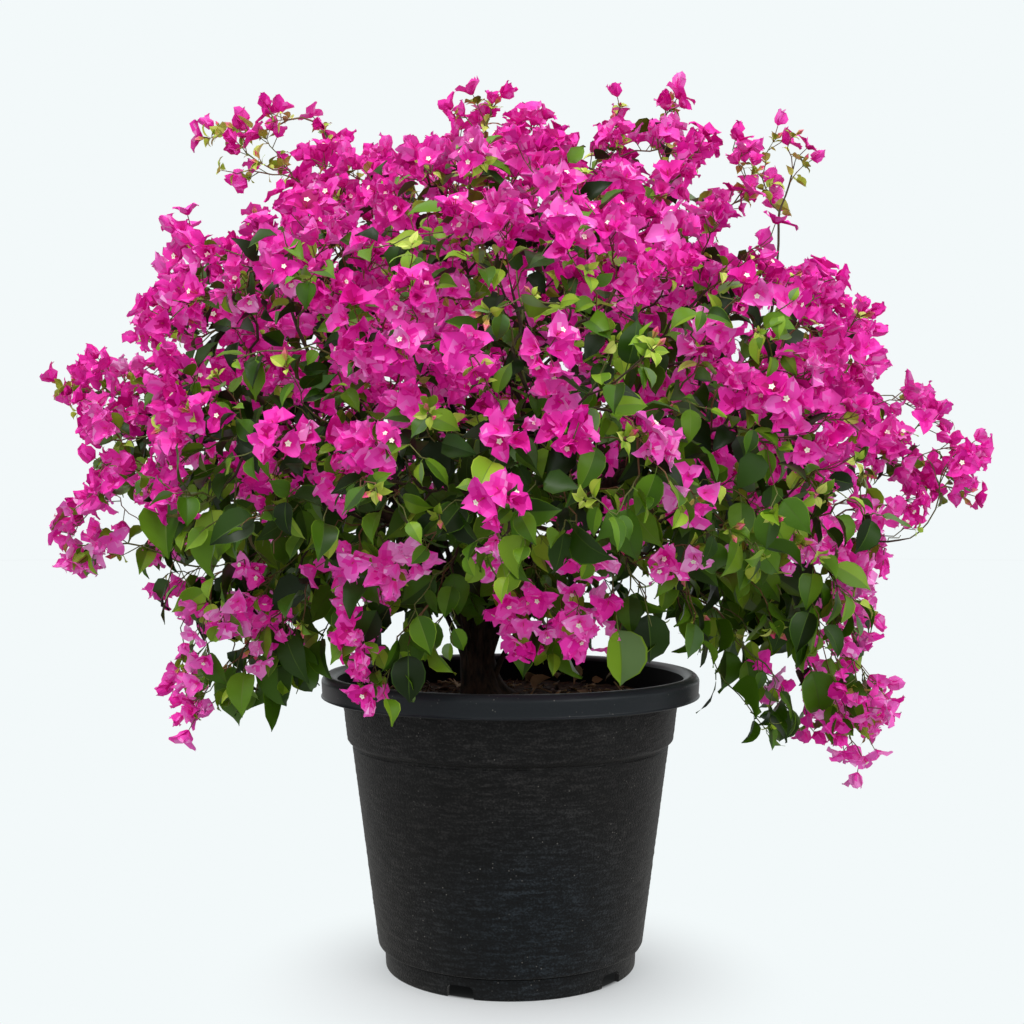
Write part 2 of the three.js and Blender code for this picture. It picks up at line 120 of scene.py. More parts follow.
class Paint:
    """The nodes of a material or of the world. Each is known by the output that others use."""

    def __init__(self, owner):
        owner.use_nodes = True
        self.tree = owner.node_tree
        self.coordinates = self.tree.nodes.new("ShaderNodeTexCoord").outputs
        self.place = self.coordinates["Object"]

    def feed(self, node, inputs):
        """Sets inputs, by name or number, to values, or links them to outputs of other nodes."""
        for socket, value in inputs.items():
            if isinstance(value, bpy.types.NodeSocket):
                self.tree.links.new(value, node.inputs[socket])
            else:
                node.inputs[socket].default_value = value

    def add(self, kind, output, inputs, **settings):
        node = self.tree.nodes.new("ShaderNode" + kind)
        for setting, value in settings.items():
            setattr(node, setting, value)
        self.feed(node, inputs)
        return node.outputs[output]

    def noise(self, scale, detail, stretch=(1, 1, 1)):
        place = self.add("Mapping", "Vector", {"Vector": self.place, "Scale": stretch})
        return self.add("TexNoise", "Fac", {"Vector": place, "Scale": scale, "Detail": detail})

    def ramp(self, source, *stops):
        color = self.add("ValToRGB", "Color", {"Fac": source})
        elements = color.node.color_ramp.elements
        for i, (place, shade) in enumerate(stops):
            element = elements[i] if i < 2 else elements.new(place)
            element.position, element.color = place, shade
        return color

    def mix(self, kind, factor, first, second):
        return self.add("Mix", 2, {0: factor, 6: first, 7: second}, data_type="RGBA", blend_type=kind)

    def fade(self, value, start=0, end=1, bottom=0, top=1, smooth=False):
        """How far value is from start to end, told from bottom to top."""
        span = {"From Min": start, "From Max": end, "To Min": bottom, "To Max": top}
        return self.add("MapRange", "Result", {"Value": value, **span},
                        interpolation_type="SMOOTHSTEP" if smooth else "LINEAR")

    def surface(self, color, height, strength, distance, **more):
        """Links the shader's colour, its bump and what else is named."""
        bump = self.add("Bump", "Normal",
                        {"Height": height, "Strength": strength, "Distance": distance})
        self.feed(self.tree.nodes["Principled BSDF"], {"Base Color": color, "Normal": bump, **more})


def grained(name, roughness, specular, noise, stops, strength, distance):
    """A matt material with one noise, from dark hollows to pale crests, for its colour and bump."""
    material = plain(name, stops[0][1], roughness, Specular_IOR_Level=specular)
    paint = Paint(material)
    grain = paint.noise(*noise)
    paint.surface(paint.ramp(grain, *stops), grain, strength, distance)
    return material


# ---- meshes --------------------------------------------------------------------------------
class Heap:
    """Vertices and faces of many small pieces, joined into one mesh."""

    def __init__(self):
        self.points, self.faces, self.slots, self.count = [], {3: [], 4: []}, {3: [], 4: []}, 0

    def add(self, points, faces, slots, start=None):
        """faces is an (n, 3) or (n, 4) array, and slots one material index or one for each face.
        The faces number their points from start, where they don't begin at the first one here."""
        faces = np.asarray(faces)
        corners = faces.shape[1]
        self.faces[corners].append(faces + (self.count if start is None else start))
        self.slots[corners].append(np.broadcast_to(slots, len(faces)))
        if len(points):
            self.points.append(np.asarray(points))
        self.count += len(points)

    def add_tube(self, points, slots, ends):
        """A tube of rings of points, closed by fans round the first and last of the ends."""
        rows, sides = points.shape[:2]
        start = self.count
        self.add(points.reshape(-1, 3), grid_faces(rows, sides, closed=True), slots)
        for row, flip, end in ((0, 1, ends[0]), (rows - 1, -1, ends[-1])):
            ring = start + row * sides + np.arange(sides)[::flip]
            self.add([end], np.stack([np.roll(ring, -1), ring, np.full(sides, self.count)], 1), 0, 0)

    def add_prism(self, points, slot):
        """A prism between two rings of points, the lower one first."""
        n, start = len(points) // 2, self.count
        self.add(points, [[k, (k + 1) % n, n + (k + 1) % n, n + k] for k in range(n)], slot)
        self.add([], [[0, k + 1, k] for k in range(1, n - 1)], slot, start)
        self.add([], [[n, n + k, n + k + 1] for k in range(1, n - 1)], slot, start)

    def build(self, name, materials):
        mesh = bpy.data.meshes.new(name)
        points = np.concatenate(self.points).astype(np.float32)
        mesh.vertices.add(len(points))
        mesh.vertices.foreach_set("co", points.ravel())
        loops, totals, slots = [], [], []
        for corners in (3, 4):
            if self.faces[corners]:
                faces = np.concatenate(self.faces[corners])
                loops.append(faces.ravel())
                totals.append(np.full(len(faces), corners))
                slots.append(np.concatenate(self.slots[corners]))
        loops, totals, slots = (np.concatenate(p).astype(np.int32) for p in (loops, totals, slots))
        starts = np.concatenate([[0], np.cumsum(totals)[:-1]]).astype(np.int32)
        mesh.loops.add(len(loops))
        mesh.loops.foreach_set("vertex_index", loops)
        mesh.polygons.add(len(totals))
        for key, values in (("loop_start", starts), ("material_index", slots),
                            ("use_smooth", np.ones(len(totals), bool))):
            mesh.polygons.foreach_set(key, values)
        for material in materials:
            mesh.materials.append(material)
        mesh.update(calc_edges=True)
        obj = bpy.data.objects.new(name, mesh)
        bpy.context.scene.collection.objects.link(obj)
        return obj


def grid_faces(rows, columns, closed=False):
    """Quads of a grid of rows by columns of vertices. closed joins the last column to the first."""
    across = columns if closed else columns - 1
    r, c = np.meshgrid(np.arange(rows - 1), np.arange(across), indexing="ij")
    r, c = r.ravel(), c.ravel()
    n = (c + 1) % columns
    low, high = r * columns, (r + 1) * columns
    return np.stack([low + c, low + n, high + n, high + c], 1)


def circle(count):
    """Angles at equal steps round a circle."""
    return np.arange(count) * 2 * math.pi / count


def frames_along(path):
    """Two directions across a path at each of its points, carried along it without twisting."""
    tangents = unit(np.gradient(path, axis=0))
    start = np.cross(tangents[0], UP if abs(tangents[0][2]) < 0.9 else np.array([1.0, 0, 0]))
    across = [unit(start)]
    for tangent in tangents[1:]:
        side = across[-1] - tangent * np.dot(across[-1], tangent)
        across.append(unit(side))
    across = np.array(across)
    return across, np.cross(tangents, across)


def tube(path, radii, sides):
    """Vertices and faces of a round tube with open ends."""
    across, along = frames_along(path)
    cos, sin = (part[None, :, None] for part in (np.cos(circle(sides)), np.sin(circle(sides))))
    ring = cos * across[:, None] + sin * along[:, None]
    points = path[:, None] + ring * np.asarray(radii)[:, None, None]
    return points.reshape(-1, 3), grid_faces(len(path), sides, closed=True)


def quadratic(t, start, middle, end):
    """Points at t, from 0 to 1, of the Bezier curve of three points."""
    return (1 - t) ** 2 * start + 2 * t * (1 - t) * middle + t * t * end


def cubic(count, start, rising, leaning, end):
    """count points of the Bezier curve of four points."""
    t = np.linspace(0, 1, count)[:, None]
    return ((1 - t) ** 3 * start + 3 * t * (1 - t) ** 2 * rising
            + 3 * t**2 * (1 - t) * leaning + t**3 * end)


def lengths_along(curve):
    """How far each point of a curve lies from its start, along it."""
    return np.concatenate([[0], np.cumsum(np.linalg.norm(np.diff(curve, axis=0), axis=1))])


def even(curve, count):
    """count points at equal distances along a curve of many points."""
    lengths = lengths_along(curve)
    wanted = np.linspace(0, lengths[-1], count)
    return np.stack([np.interp(wanted, lengths, curve[:, k]) for k in range(3)], 1)


# ---- pot -----------------------------------------------------------------------------------
POT_SEGMENTS = 300
POT_HEIGHT, RIM_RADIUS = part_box("pot")[1].z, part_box("pot")[1].x
RIM_DEPTH, MOUTH_RADIUS, NECK_RADIUS = 0.025, 0.194, 0.186
RIM_FOOT = POT_HEIGHT - RIM_DEPTH
COLLAR_FOOT, COLLAR_RADIUS = 0.252, 0.1805
SHOULDER, SHOULDER_RADIUS = 0.24, 0.1755
BODY_FOOT, BODY_FOOT_RADIUS = 0.025, 0.1465
FOOT_RADIUS, FOOT_WALL = 0.1395, 0.007
WALL = 0.004
FLOOR_UNDERSIDE, FLOOR_TOP = 0.018, 0.022
NOTCHES, NOTCH_WIDTH, NOTCH_HEIGHT, NOTCH_BEND = 5, 0.03, 0.0135, 0.006
FIRST_NOTCH = -112
WALL_STEP = 0.0016  # height of a row of the mesh where the wall is scored
PLAIN_STEP = 0.007  # the same elsewhere
SCORE_DEPTH = 0.00042
SCORE_SCALE = (54, 54, 300)  # scores to a metre round the wall and up it
SHARP_EDGE = math.radians(38)
AXIS_GAP = 0.0008  # the profile ends just off the axis


def rounded(corners, steps=5):
    """A profile through corners of (radius, height, fillet), with each corner rounded off."""
    path = []
    for i, (r, z, fillet) in enumerate(corners):
        point = np.array([r, z])
        if fillet == 0:
            path.append(point)
            continue
        before, after = (np.array(corners[k][:2]) - point for k in (i - 1, i + 1))
        start = point + before / np.linalg.norm(before) * fillet
        end = point + after / np.linalg.norm(after) * fillet
        path.extend(quadratic(t, start, point, end) for t in np.linspace(0, 1, steps))
    return np.array(path)


def scored(radius, height):
    """Whether a point of the profile is on the scored outside of the pot's wall."""
    wall = np.interp(height, (BODY_FOOT, SHOULDER, COLLAR_FOOT),
                     (BODY_FOOT_RADIUS, SHOULDER_RADIUS, COLLAR_RADIUS))
    return BODY_FOOT < height < RIM_FOOT - 0.004 and radius > wall - 0.0015


def refined(path):
    """The same path in short stretches where the wall is scored, and longer ones elsewhere."""
    out = [path[0]]
    for a, b in zip(path, path[1:]):
        step = WALL_STEP if scored(*((a + b) / 2)) else PLAIN_STEP
        count = max(1, math.ceil(np.linalg.norm(b - a) / step))
        out.extend(a + (b - a) * (i + 1) / count for i in range(count))
    return np.array(out)


def lathe(profile, segments):
    points = np.empty((len(profile), segments, 3))
    points[..., 0] = profile[:, :1] * np.cos(circle(segments))
    points[..., 1] = profile[:, :1] * np.sin(circle(segments))
    points[..., 2] = profile[:, 1:]
    return points


def pot_profile():
    """From the middle of the floor's underside out, up the wall, over the rim and down inside."""
    foot_inside, step_radius, lip = FOOT_RADIUS - FOOT_WALL, SHOULDER_RADIUS - 0.0013, POT_HEIGHT
    return refined(rounded([
        (AXIS_GAP, FLOOR_UNDERSIDE, 0), (foot_inside, FLOOR_UNDERSIDE, 0.002),
        (foot_inside, 0, 0.0012), (FOOT_RADIUS - 0.0012, 0, 0.0016),
        (FOOT_RADIUS, BODY_FOOT - 0.002, 0.0008), (BODY_FOOT_RADIUS, BODY_FOOT, 0.0022),
        (SHOULDER_RADIUS - 0.0002, SHOULDER + 0.0018, 0.0006),
        (step_radius, SHOULDER + 0.0026, 0.0005), (step_radius, SHOULDER + 0.0044, 0.0005),
        (COLLAR_RADIUS, COLLAR_FOOT - 0.003, 0.002),
        (NECK_RADIUS, RIM_FOOT - 0.003, 0.0025), (RIM_RADIUS - 0.0028, RIM_FOOT - 0.0006, 0.0012),
        (RIM_RADIUS, RIM_FOOT + 0.0006, 0.0008), (RIM_RADIUS - 0.0016, RIM_FOOT + 0.0026, 0.001),
        (RIM_RADIUS - 0.0006, lip - 0.0065, 0.002), (RIM_RADIUS - 0.0042, lip - 0.0012, 0.003),
        (MOUTH_RADIUS + 0.007, lip, 0.003), (MOUTH_RADIUS - 0.001, lip - 0.0035, 0.003),
        (MOUTH_RADIUS - 0.006, lip - 0.016, 0.004),
        (NECK_RADIUS - WALL, RIM_FOOT - 0.006, 0.004), (COLLAR_RADIUS - WALL, COLLAR_FOOT, 0.003),
        (SHOULDER_RADIUS - WALL, SHOULDER, 0.003), (BODY_FOOT_RADIUS - WALL, FLOOR_TOP, 0.003),
        (AXIS_GAP, FLOOR_TOP, 0)]))


PAINTED_REFLECTION_PLACE = (0.02, -0.16, 0.07)  # low down in front: the middle of a painted bluish reflection
PAINTED_REFLECTION_REACH = (0.03, 0.16)
WHITE, BLACK = (1, 1, 1, 1), (0, 0, 0, 1)


def pot_material():
    """Black plastic: a painted bluish reflection low down in front, dusty brown round the sides,
    its grain painted paler on the crests and darker in the hollows as painted highlights and
    shade, with pale specks of grit."""
    material = plain("black pot plastic", BLACK, 0.4, Specular_IOR_Level=0.18, Sheen_Weight=0.06,
                     Sheen_Roughness=0.45, Sheen_Tint=srgb(235, 230, 215))
    paint = Paint(material)
    relief = paint.mix("MIX", 0.54, paint.noise(1, 2, SCORE_SCALE), paint.noise(430, 2, (1, 1, 1.3)))
    # the grain is painted paler on its crests and darker in its hollows: painted highlights and shade
    # of the relief
    crests = paint.ramp(relief, (0.38, srgb(6, 6, 7)), (0.5, srgb(18, 19, 20)),
                        (0.66, srgb(50, 50, 51)))
    # a painted bluish reflection low down in front; elsewhere dust tints the plastic warm brown
    away = paint.add("VectorMath", "Value", {0: paint.place, 1: PAINTED_REFLECTION_PLACE}, operation="DISTANCE")
    reflection_and_dust = paint.mix("MIX", paint.fade(away, *PAINTED_REFLECTION_REACH, smooth=True), srgb(204, 234, 255),
                     srgb(240, 234, 228))
    patches = paint.ramp(paint.noise(7, 4), (0.3, srgb(190, 188, 186)), (0.6, WHITE))
    plastic = paint.mix("MULTIPLY", 1.0, paint.mix("MULTIPLY", 1.0, crests, reflection_and_dust), patches)
    # the wall and collar are grained; the rim is nearly smooth, and painted paler and bluer as a
    # painted reflection of the sky
    height = paint.add("SeparateXYZ", "Z", {0: paint.place})
    wall = paint.fade(height, RIM_FOOT + 0.0005, RIM_FOOT - 0.001, 0.12)
    body = paint.mix("MIX", wall, srgb(33, 38, 42), plastic)
    grit = paint.add("TexVoronoi", "Distance", {"Vector": paint.place, "Scale": 150})
    dots = paint.ramp(grit, (0.06, WHITE), (0.13, BLACK))
    few = paint.ramp(paint.noise(26, 2), (0.47, BLACK), (0.62, (0.75, 0.75, 0.75, 1)))
    color = paint.mix("MIX", paint.mix("MULTIPLY", 1.0, dots, few), body, srgb(120, 117, 112))
    # surfaces that face the axis, the inner slope of the rim among them, are painted blacker: painted
    # shade inside the pot
    normal = paint.add("NewGeometry", "Normal", {})
    outward = paint.add("VectorMath", "Value", {0: normal, 1: paint.place}, operation="DOT_PRODUCT")
    color = paint.mix("MIX", paint.fade(outward, 0.05, -0.1), color, srgb(9, 10, 12))
    paint.surface(color, paint.mix("MULTIPLY", 1.0, relief, wall), 0.75, 0.0022,
                  Roughness=paint.fade(wall, bottom=0.34, top=0.5))
    return material


def notch_cutter():
    """Arches to cut through the foot ring: straight jambs, then rounded shoulders."""
    heap = Heap()
    half, bend = NOTCH_WIDTH / 2, NOTCH_BEND
    outline = [(-half, -0.01)] + [
        (-half + bend * (1 - math.cos(t)), NOTCH_HEIGHT - bend + bend * math.sin(t))
        for t in np.linspace(0, math.pi / 2, 5)]
    outline += [(-x, z) for x, z in reversed(outline)]
    for i in range(NOTCHES):
        angle = math.radians(FIRST_NOTCH + i * 360 / NOTCHES)
        cos, sin = math.cos(angle), math.sin(angle)
        heap.add_prism([[reach * cos - x * sin, reach * sin + x * cos, z]
                        for reach in (FOOT_RADIUS + 0.004, FOOT_RADIUS - 3 * FOOT_WALL)
                        for x, z in outline], 0)
    return heap.build("notch_cutter", [])


def make_pot():
    profile = pot_profile()
    points = lathe(profile, POT_SEGMENTS)
    for row, (radius, height) in zip(points, profile):
        if scored(radius, height):
            for point in row:
                score = noise.noise(Vector(point * SCORE_SCALE))
                point[:2] *= 1 + SCORE_DEPTH * score / radius
    past_rim = np.arange(len(profile) - 1) > np.argmax(profile[:, 1])
    inside = past_rim & (profile[:-1, 0] < MOUTH_RADIUS - 0.0015)
    heap = Heap()
    slots = np.repeat(inside.astype(int), POT_SEGMENTS)
    heap.add_tube(points, slots, [(0, 0, z) for z in profile[:, 1]])
    # the inside wall below the mouth gets a blacker, rougher material: painted shade inside the pot
    painted_inside_shade = plain("pot lining", srgb(7, 8, 9), 0.85, Specular_IOR_Level=0.1)
    pot = heap.build("pot_shell", [pot_material(), painted_inside_shade])
    cut = pot.modifiers.new("notches", "BOOLEAN")
    cut.operation = "DIFFERENCE"
    cut.solver = "EXACT"
    cut.object = notch_cutter()
    evaluated = pot.evaluated_get(bpy.context.evaluated_depsgraph_get())
    mesh = bpy.data.meshes.new_from_object(evaluated)
    bpy.data.objects.remove(cut.object)
    pot.modifiers.clear()
    pot.data = mesh
    mesh.set_sharp_from_angle(angle=SHARP_EDGE)
    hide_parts("pot")
    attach(pot, "root")


# ---- growth --------------------------------------------------------------------------------
STEP = 0.014  # distance between the points of the skeleton
STEM_RADIUS = 0.003  # of the stems to the masses, at their thickest
SHOOT_RADIUS = 0.0016  # of the sprays' own wood
HANGING_BELOW = 0.42  # wood that ends lower than this hangs from wood that stands higher
STEM_HANG, SPRAY_HANG, PENDANT_HANG = 0.15, 0.05, 0.02  # by how much
HANG_COST = 1.5  # of each metre that hanging wood would rise
TURN_COST = 0.05  # of a branch that leaves against the heading of its wood
LEAST_REACH = 0.02  # the shortest branch


class Skeleton:
    """The growing wood: points, each with its parent, heading and distance along the wood."""

    def __init__(self, capacity=60000):
        self.points = np.zeros((capacity, 3))
        self.headings = np.zeros((capacity, 3))
        self.path = np.zeros(capacity)
        self.parents = np.full(capacity, -1)
        self.limit = np.full(capacity, 1.0)  # thickest radius allowed
        self.count = 0
        self.branches = []

    def extend(self, parent, points, limit=1.0):
        """Adds a chain of points that leaves from parent, and returns their indexes."""
        start = self.count
        chain = np.arange(start, start + len(points))
        self.points[chain] = points
        origin = self.points[parent] if parent >= 0 else points[0] - UP * STEP
        steps = np.diff(np.vstack([origin, points]), axis=0)
        self.headings[chain] = unit(steps)
        base = self.path[parent] if parent >= 0 else 0.0
        self.path[chain] = base + np.cumsum(np.linalg.norm(steps, axis=1))
        self.parents[chain] = np.concatenate([[parent], chain[:-1]])
        self.limit[chain] = limit
        self.count += len(points)
        return chain

    def joint_for(self, target, along, hang):
        """The point that a branch to target best leaves from: near, early and facing it."""
        reach = target - self.points[:self.count]
        distance = np.linalg.norm(reach, axis=1)
        facing = (reach * self.headings[:self.count]).sum(1) / np.maximum(distance, 1e-6)
        cost = distance + along * self.path[:self.count] + TURN_COST * (1 - facing)
        cost += distance < LEAST_REACH
        if target[2] < HANGING_BELOW:
            cost += HANG_COST * np.clip(reach[:, 2] + hang, 0, None)
        return int(np.argmin(cost))

    def grow(self, target, heading, along=0.3, limit=STEM_RADIUS, wobble=0.004, sag=0.0,
             hang=SPRAY_HANG):
        """Grows a curved branch from the best joint to target, arriving along heading."""
        joint = self.joint_for(target, along, hang)
        start = self.points[joint]
        gap = target - start
        distance = np.linalg.norm(gap)
        leaving = unit(self.headings[joint] * 0.7 + gap / distance) * distance
        arriving = unit(np.asarray(heading) * 0.8 + gap / distance) * distance
        count = max(3, math.ceil(distance / STEP))
        t = np.arange(1, count + 1)[:, None] / count
        curve = ((2 * t**3 - 3 * t**2 + 1) * start + (t**3 - 2 * t**2 + t) * leaving
                 + (3 * t**2 - 2 * t**3) * target + (t**3 - t**2) * arriving)
        phase = rng.uniform(0, TURN, (2, 3))
        wave = np.sin(t * 5.3 + phase[0]) + 0.6 * np.sin(t * 11.0 + phase[1])
        curve += wave * np.sin(t * math.pi) * wobble
        curve[:, 2] -= (sag * distance * np.sin(t * math.pi))[:, 0]
        chain = self.extend(joint, curve, limit)
        self.branches.append((joint, chain))
        return chain


skeleton = Skeleton()


def trunk_curve():
    """Points up the middle of the trunk, from its CAD box."""
    low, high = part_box("trunk")
    foot = np.array([-0.032, 0.003, low.z])
    fork = np.array([-0.038, 0.002, high.z])
    middle = (foot + fork) / 2
    middle[0] = foot[0] - TRUNK_LEAN
    return quadratic(np.linspace(0, 1, 24)[:, None], foot, middle, fork)


limb_curves = {"trunk": trunk_curve()}


def bough_curve(name):
    azimuth, reach, height, _, lift, parent, share = BOUGHS[name]
    start = even(limb_curves[parent or "trunk"], 101)[round(share * 100)]
    end = polar(azimuth, reach, height)
    outward = (end - start) * (1, 1, 0)
    rising = start + outward * BOUGH_LEAN + UP * lift
    leaning = end - outward * BOUGH_ARCH - UP * BOUGH_ARCH * BOUGH_SLOPE * reach
    limb_curves[name] = cubic(60, start, rising, leaning, end)
    return limb_curves[name]


RING_STEP = 0.004  # between the rings of a bough's mesh
KNOT, RIDGE, CRACK = 0.12, 0.1, 0.09  # depths of the bark's relief, as shares of the limb's radius


def limb_mesh(heap, curve, radii, sides, flare=0.0):
    """A limb with the bark's relief: long ridges, knots and old leaf scars."""
    across, along = frames_along(curve)
    lengths = lengths_along(curve)
    points = np.empty((len(curve), sides, 3))
    for i, t in enumerate(np.arange(len(curve)) / (len(curve) - 1)):
        for k, angle in enumerate(circle(sides)):
            cos, sin = math.cos(angle), math.sin(angle)
            spread = flare * math.exp(-t / ROOT_FLARE_SHARE) * (1 + 0.5 * math.cos(5 * angle + 1))
            place = Vector((cos * 1.3, sin * 1.3, lengths[i] * 22)) + Vector(curve[0]) * 40
            ridge = noise.noise(place * 2.1)
            knot = noise.noise(place * 0.9)
            crack = abs(noise.noise(Vector((place.x * 5, place.y * 5, place.z * 1.2))))
            radius = (radii[i] + spread) * (1 + KNOT * knot + RIDGE * ridge - CRACK * crack)
            points[i, k] = curve[i] + (across[i] * cos + along[i] * sin) * radius
    heap.add_tube(points, 0, curve)


# slender stems that rise from the foot of the trunk: azimuth, reach and height of the tip, radius
STEMS = ((-128, 0.1, 0.47, 0.0042), (-70, 0.085, 0.455, 0.0036), (-100, 0.055, 0.5, 0.0045),
         (-20, 0.1, 0.48, 0.0035), (165, 0.12, 0.47, 0.0038))


def make_stems(bark, foot, joint):
    heap = Heap()
    for azimuth, reach, height, radius in STEMS:
        away = polar(azimuth, 1, 0)
        start = foot + away * 0.012
        end = polar(azimuth, reach, height) + (start - away * start.dot(away)) * (1, 1, 0) * 0.4
        rise = end[2] - start[2]
        curve = cubic(40, start, start + away * 0.01 + UP * rise * 0.45,
                      end - away * 0.02 - UP * rise * 0.3, end)
        limb_mesh(heap, even(curve, 44), np.linspace(radius, radius * 0.6, 44), 10)
        skeleton.extend(joint, even(curve, 16)[1:], radius)
    stems = heap.build("slender_stems", [bark])
    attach(stems, "root")


def make_limbs():
    bark = grained("bark", 0.88, 0.25, (210, 5, (1, 1, 0.35)),
                   ((0.32, srgb(18, 13, 10)), (0.72, srgb(62, 46, 33))), 0.5, 0.001)

    def make_limb(name, curve, radii, rings, sides, flare=0.0):
        heap = Heap()
        limb_mesh(heap, even(curve, rings), np.linspace(*radii, rings), sides, flare)
        limb = heap.build(name + "_bark", [bark])
        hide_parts(name)
        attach(limb, "root")

    curve = limb_curves["trunk"]
    make_limb("trunk", curve, TRUNK_RADII, 40, 40, ROOT_FLARE)
    chains = {"trunk": skeleton.extend(-1, even(curve, 6), TRUNK_RADII[0])}
    make_stems(bark, curve[1], chains["trunk"][0])
    for name, (_, _, _, radius, _, parent, share) in BOUGHS.items():
        curve = bough_curve(name)
        length = np.linalg.norm(np.diff(curve, axis=0), axis=1).sum()
        make_limb(name, curve, (radius, radius * BOUGH_TAPER), max(20, round(length / RING_STEP)), 16)
        holder = chains[parent or "trunk"]
        joint = holder[min(len(holder) - 1, round(share * (len(holder) - 1)))]
        count = max(4, round(length / STEP))
        chains[name] = skeleton.extend(joint, even(curve, count)[1:], radius)


# ---- masses --------------------------------------------------------------------------------
CROWN_MIDDLE = np.array([0.0, 0.0, 0.62])
SKIRT_TOP = 0.5  # sprays that end lower than this hang down and are mostly leaves
THIN = ("sprig", "spray", "tip", "hanging")  # words in the names of outlying masses


class Mass:
    """One of the CAD model's masses of foliage: its surface, its middle and what lies inside."""

    def __init__(self, name):
        mesh = nodes[name].data
        self.name, self.thin = name, any(word in name for word in THIN)
        self.points = np.array([v.co for v in mesh.vertices], float)
        mesh.calc_loop_triangles()
        self.faces = np.array([t.vertices for t in mesh.loop_triangles])
        self.tree = BVHTree.FromPolygons([tuple(p) for p in self.points], self.faces.tolist())
        self.low, self.high = self.points.min(0), self.points.max(0)
        self.middle = (self.low + self.high) / 2
        corners = self.points[self.faces]
        cross = np.cross(corners[:, 1] - corners[:, 0], corners[:, 2] - corners[:, 0])
        self.areas = np.linalg.norm(cross, axis=1) / 2
        self.normals = unit(cross)

    def holds(self, point):
        if (point < self.low - 0.001).any() or (point > self.high + 0.001).any():
            return False
        near, normal, _, _ = self.tree.find_nearest(Vector(point))
        return (Vector(point) - near).dot(normal) < 0

    def sample(self, count):
        """Random points on the surface, with their normals."""
        pick = rng.choice(len(self.faces), count, p=self.areas / self.areas.sum())
        u, v = rng.random((2, count, 1))
        flip = u + v > 1
        u, v = np.where(flip, 1 - u, u), np.where(flip, 1 - v, v)
        a, b, c = (self.points[self.faces[pick, k]] for k in range(3))
        return a + u * (b - a) + v * (c - a), self.normals[pick]


masses = {name: Mass(name) for name in sorted(nodes) if name.startswith("foliage_")}


def thinned(points, spacing):
    """Indexes of points, in order, that keep their spacing from all those kept before. Of two
    points, the smaller spacing counts."""
    kept = np.zeros(len(points), int)
    count = 0
    for i, point in enumerate(points):
        before = kept[:count]
        near = np.linalg.norm(points[before] - point, axis=1)
        if (near > np.minimum(spacing[before], spacing[i])).all():
            kept[count] = i
            count += 1
    return kept[:count]


# The tables from here on are of places in the shared frame, in millimetres.
#
# Sky that shows through and round the bush from the front: x, z and radius where the line of sight
# crosses the plane y = 0. No leaf or blossom covers the middle of one; twigs do.
GAPS = np.array([
    (-142, 505, 5), (-140, 485, 5), (-63, 511, 6), (-36, 489, 7), (-3, 487, 6), (28, 486, 4),
    (62, 487, 6), (-73, 450, 5), (-80, 424, 6), (-52, 426, 4), (103, 419, 6), (139, 419, 10),
    (160, 398, 8), (84, 398, 5), (-131, 367, 12), (-166, 398, 4), (-72, 364, 8), (-52, 373, 9),
    (200, 406, 7), (217, 394, 7), (178, 362, 10), (190, 344, 12), (219, 318, 14), (366, 506, 8),
    (377, 488, 8), (416, 515, 7), (332, 437, 5), (304, 340, 6), (319, 308, 6), (-334, 502, 4),
    (-281, 478, 8), (-343, 455, 9), (-377, 435, 10), (-348, 435, 6), (-275, 445, 5),
    (-238, 450, 7), (-270, 426, 5), (-208, 380, 8), (-342, 352, 8), (-313, 333, 10),
    (-334, 298, 8), (-415, 464, 10), (-331, 698, 5), (-329, 837, 28), (256, 809, 22),
    (312, 787, 15), (425, 641, 16), (437, 690, 18), (-392, 364, 26), (-335, 248, 16),
    (250, 262, 18), (452, 442, 28), (490, 476, 22), (-506, 563, 24), (-436, 422, 20),
    (-107, 932, 12), (-435, 507, 15), (-490, 535, 14), (316, 810, 20), (-212, 312, 10),
    (425, 338, 20), (138, 368, 4), (463, 580, 14), (515, 612, 20), (-430, 388, 20), (395, 318, 8),
    (-385, 338, 16), (-425, 357, 22), (-440, 330, 20),
]) / 1000


def in_gap(points, reach):
    """Whether something of the given reach about any of the points would cover a gap of sky."""
    points = np.atleast_2d(points)
    sight = EYE[1] / (EYE[1] - points[:, 1])
    x = EYE[0] + (points[:, 0] - EYE[0]) * sight
    z = EYE[2] + (points[:, 2] - EYE[2]) * sight
    away = np.hypot(x[:, None] - GAPS[:, 0], z[:, None] - GAPS[:, 1])
    return bool((away < GAPS[:, 2] + (reach * sight)[:, None]).any())


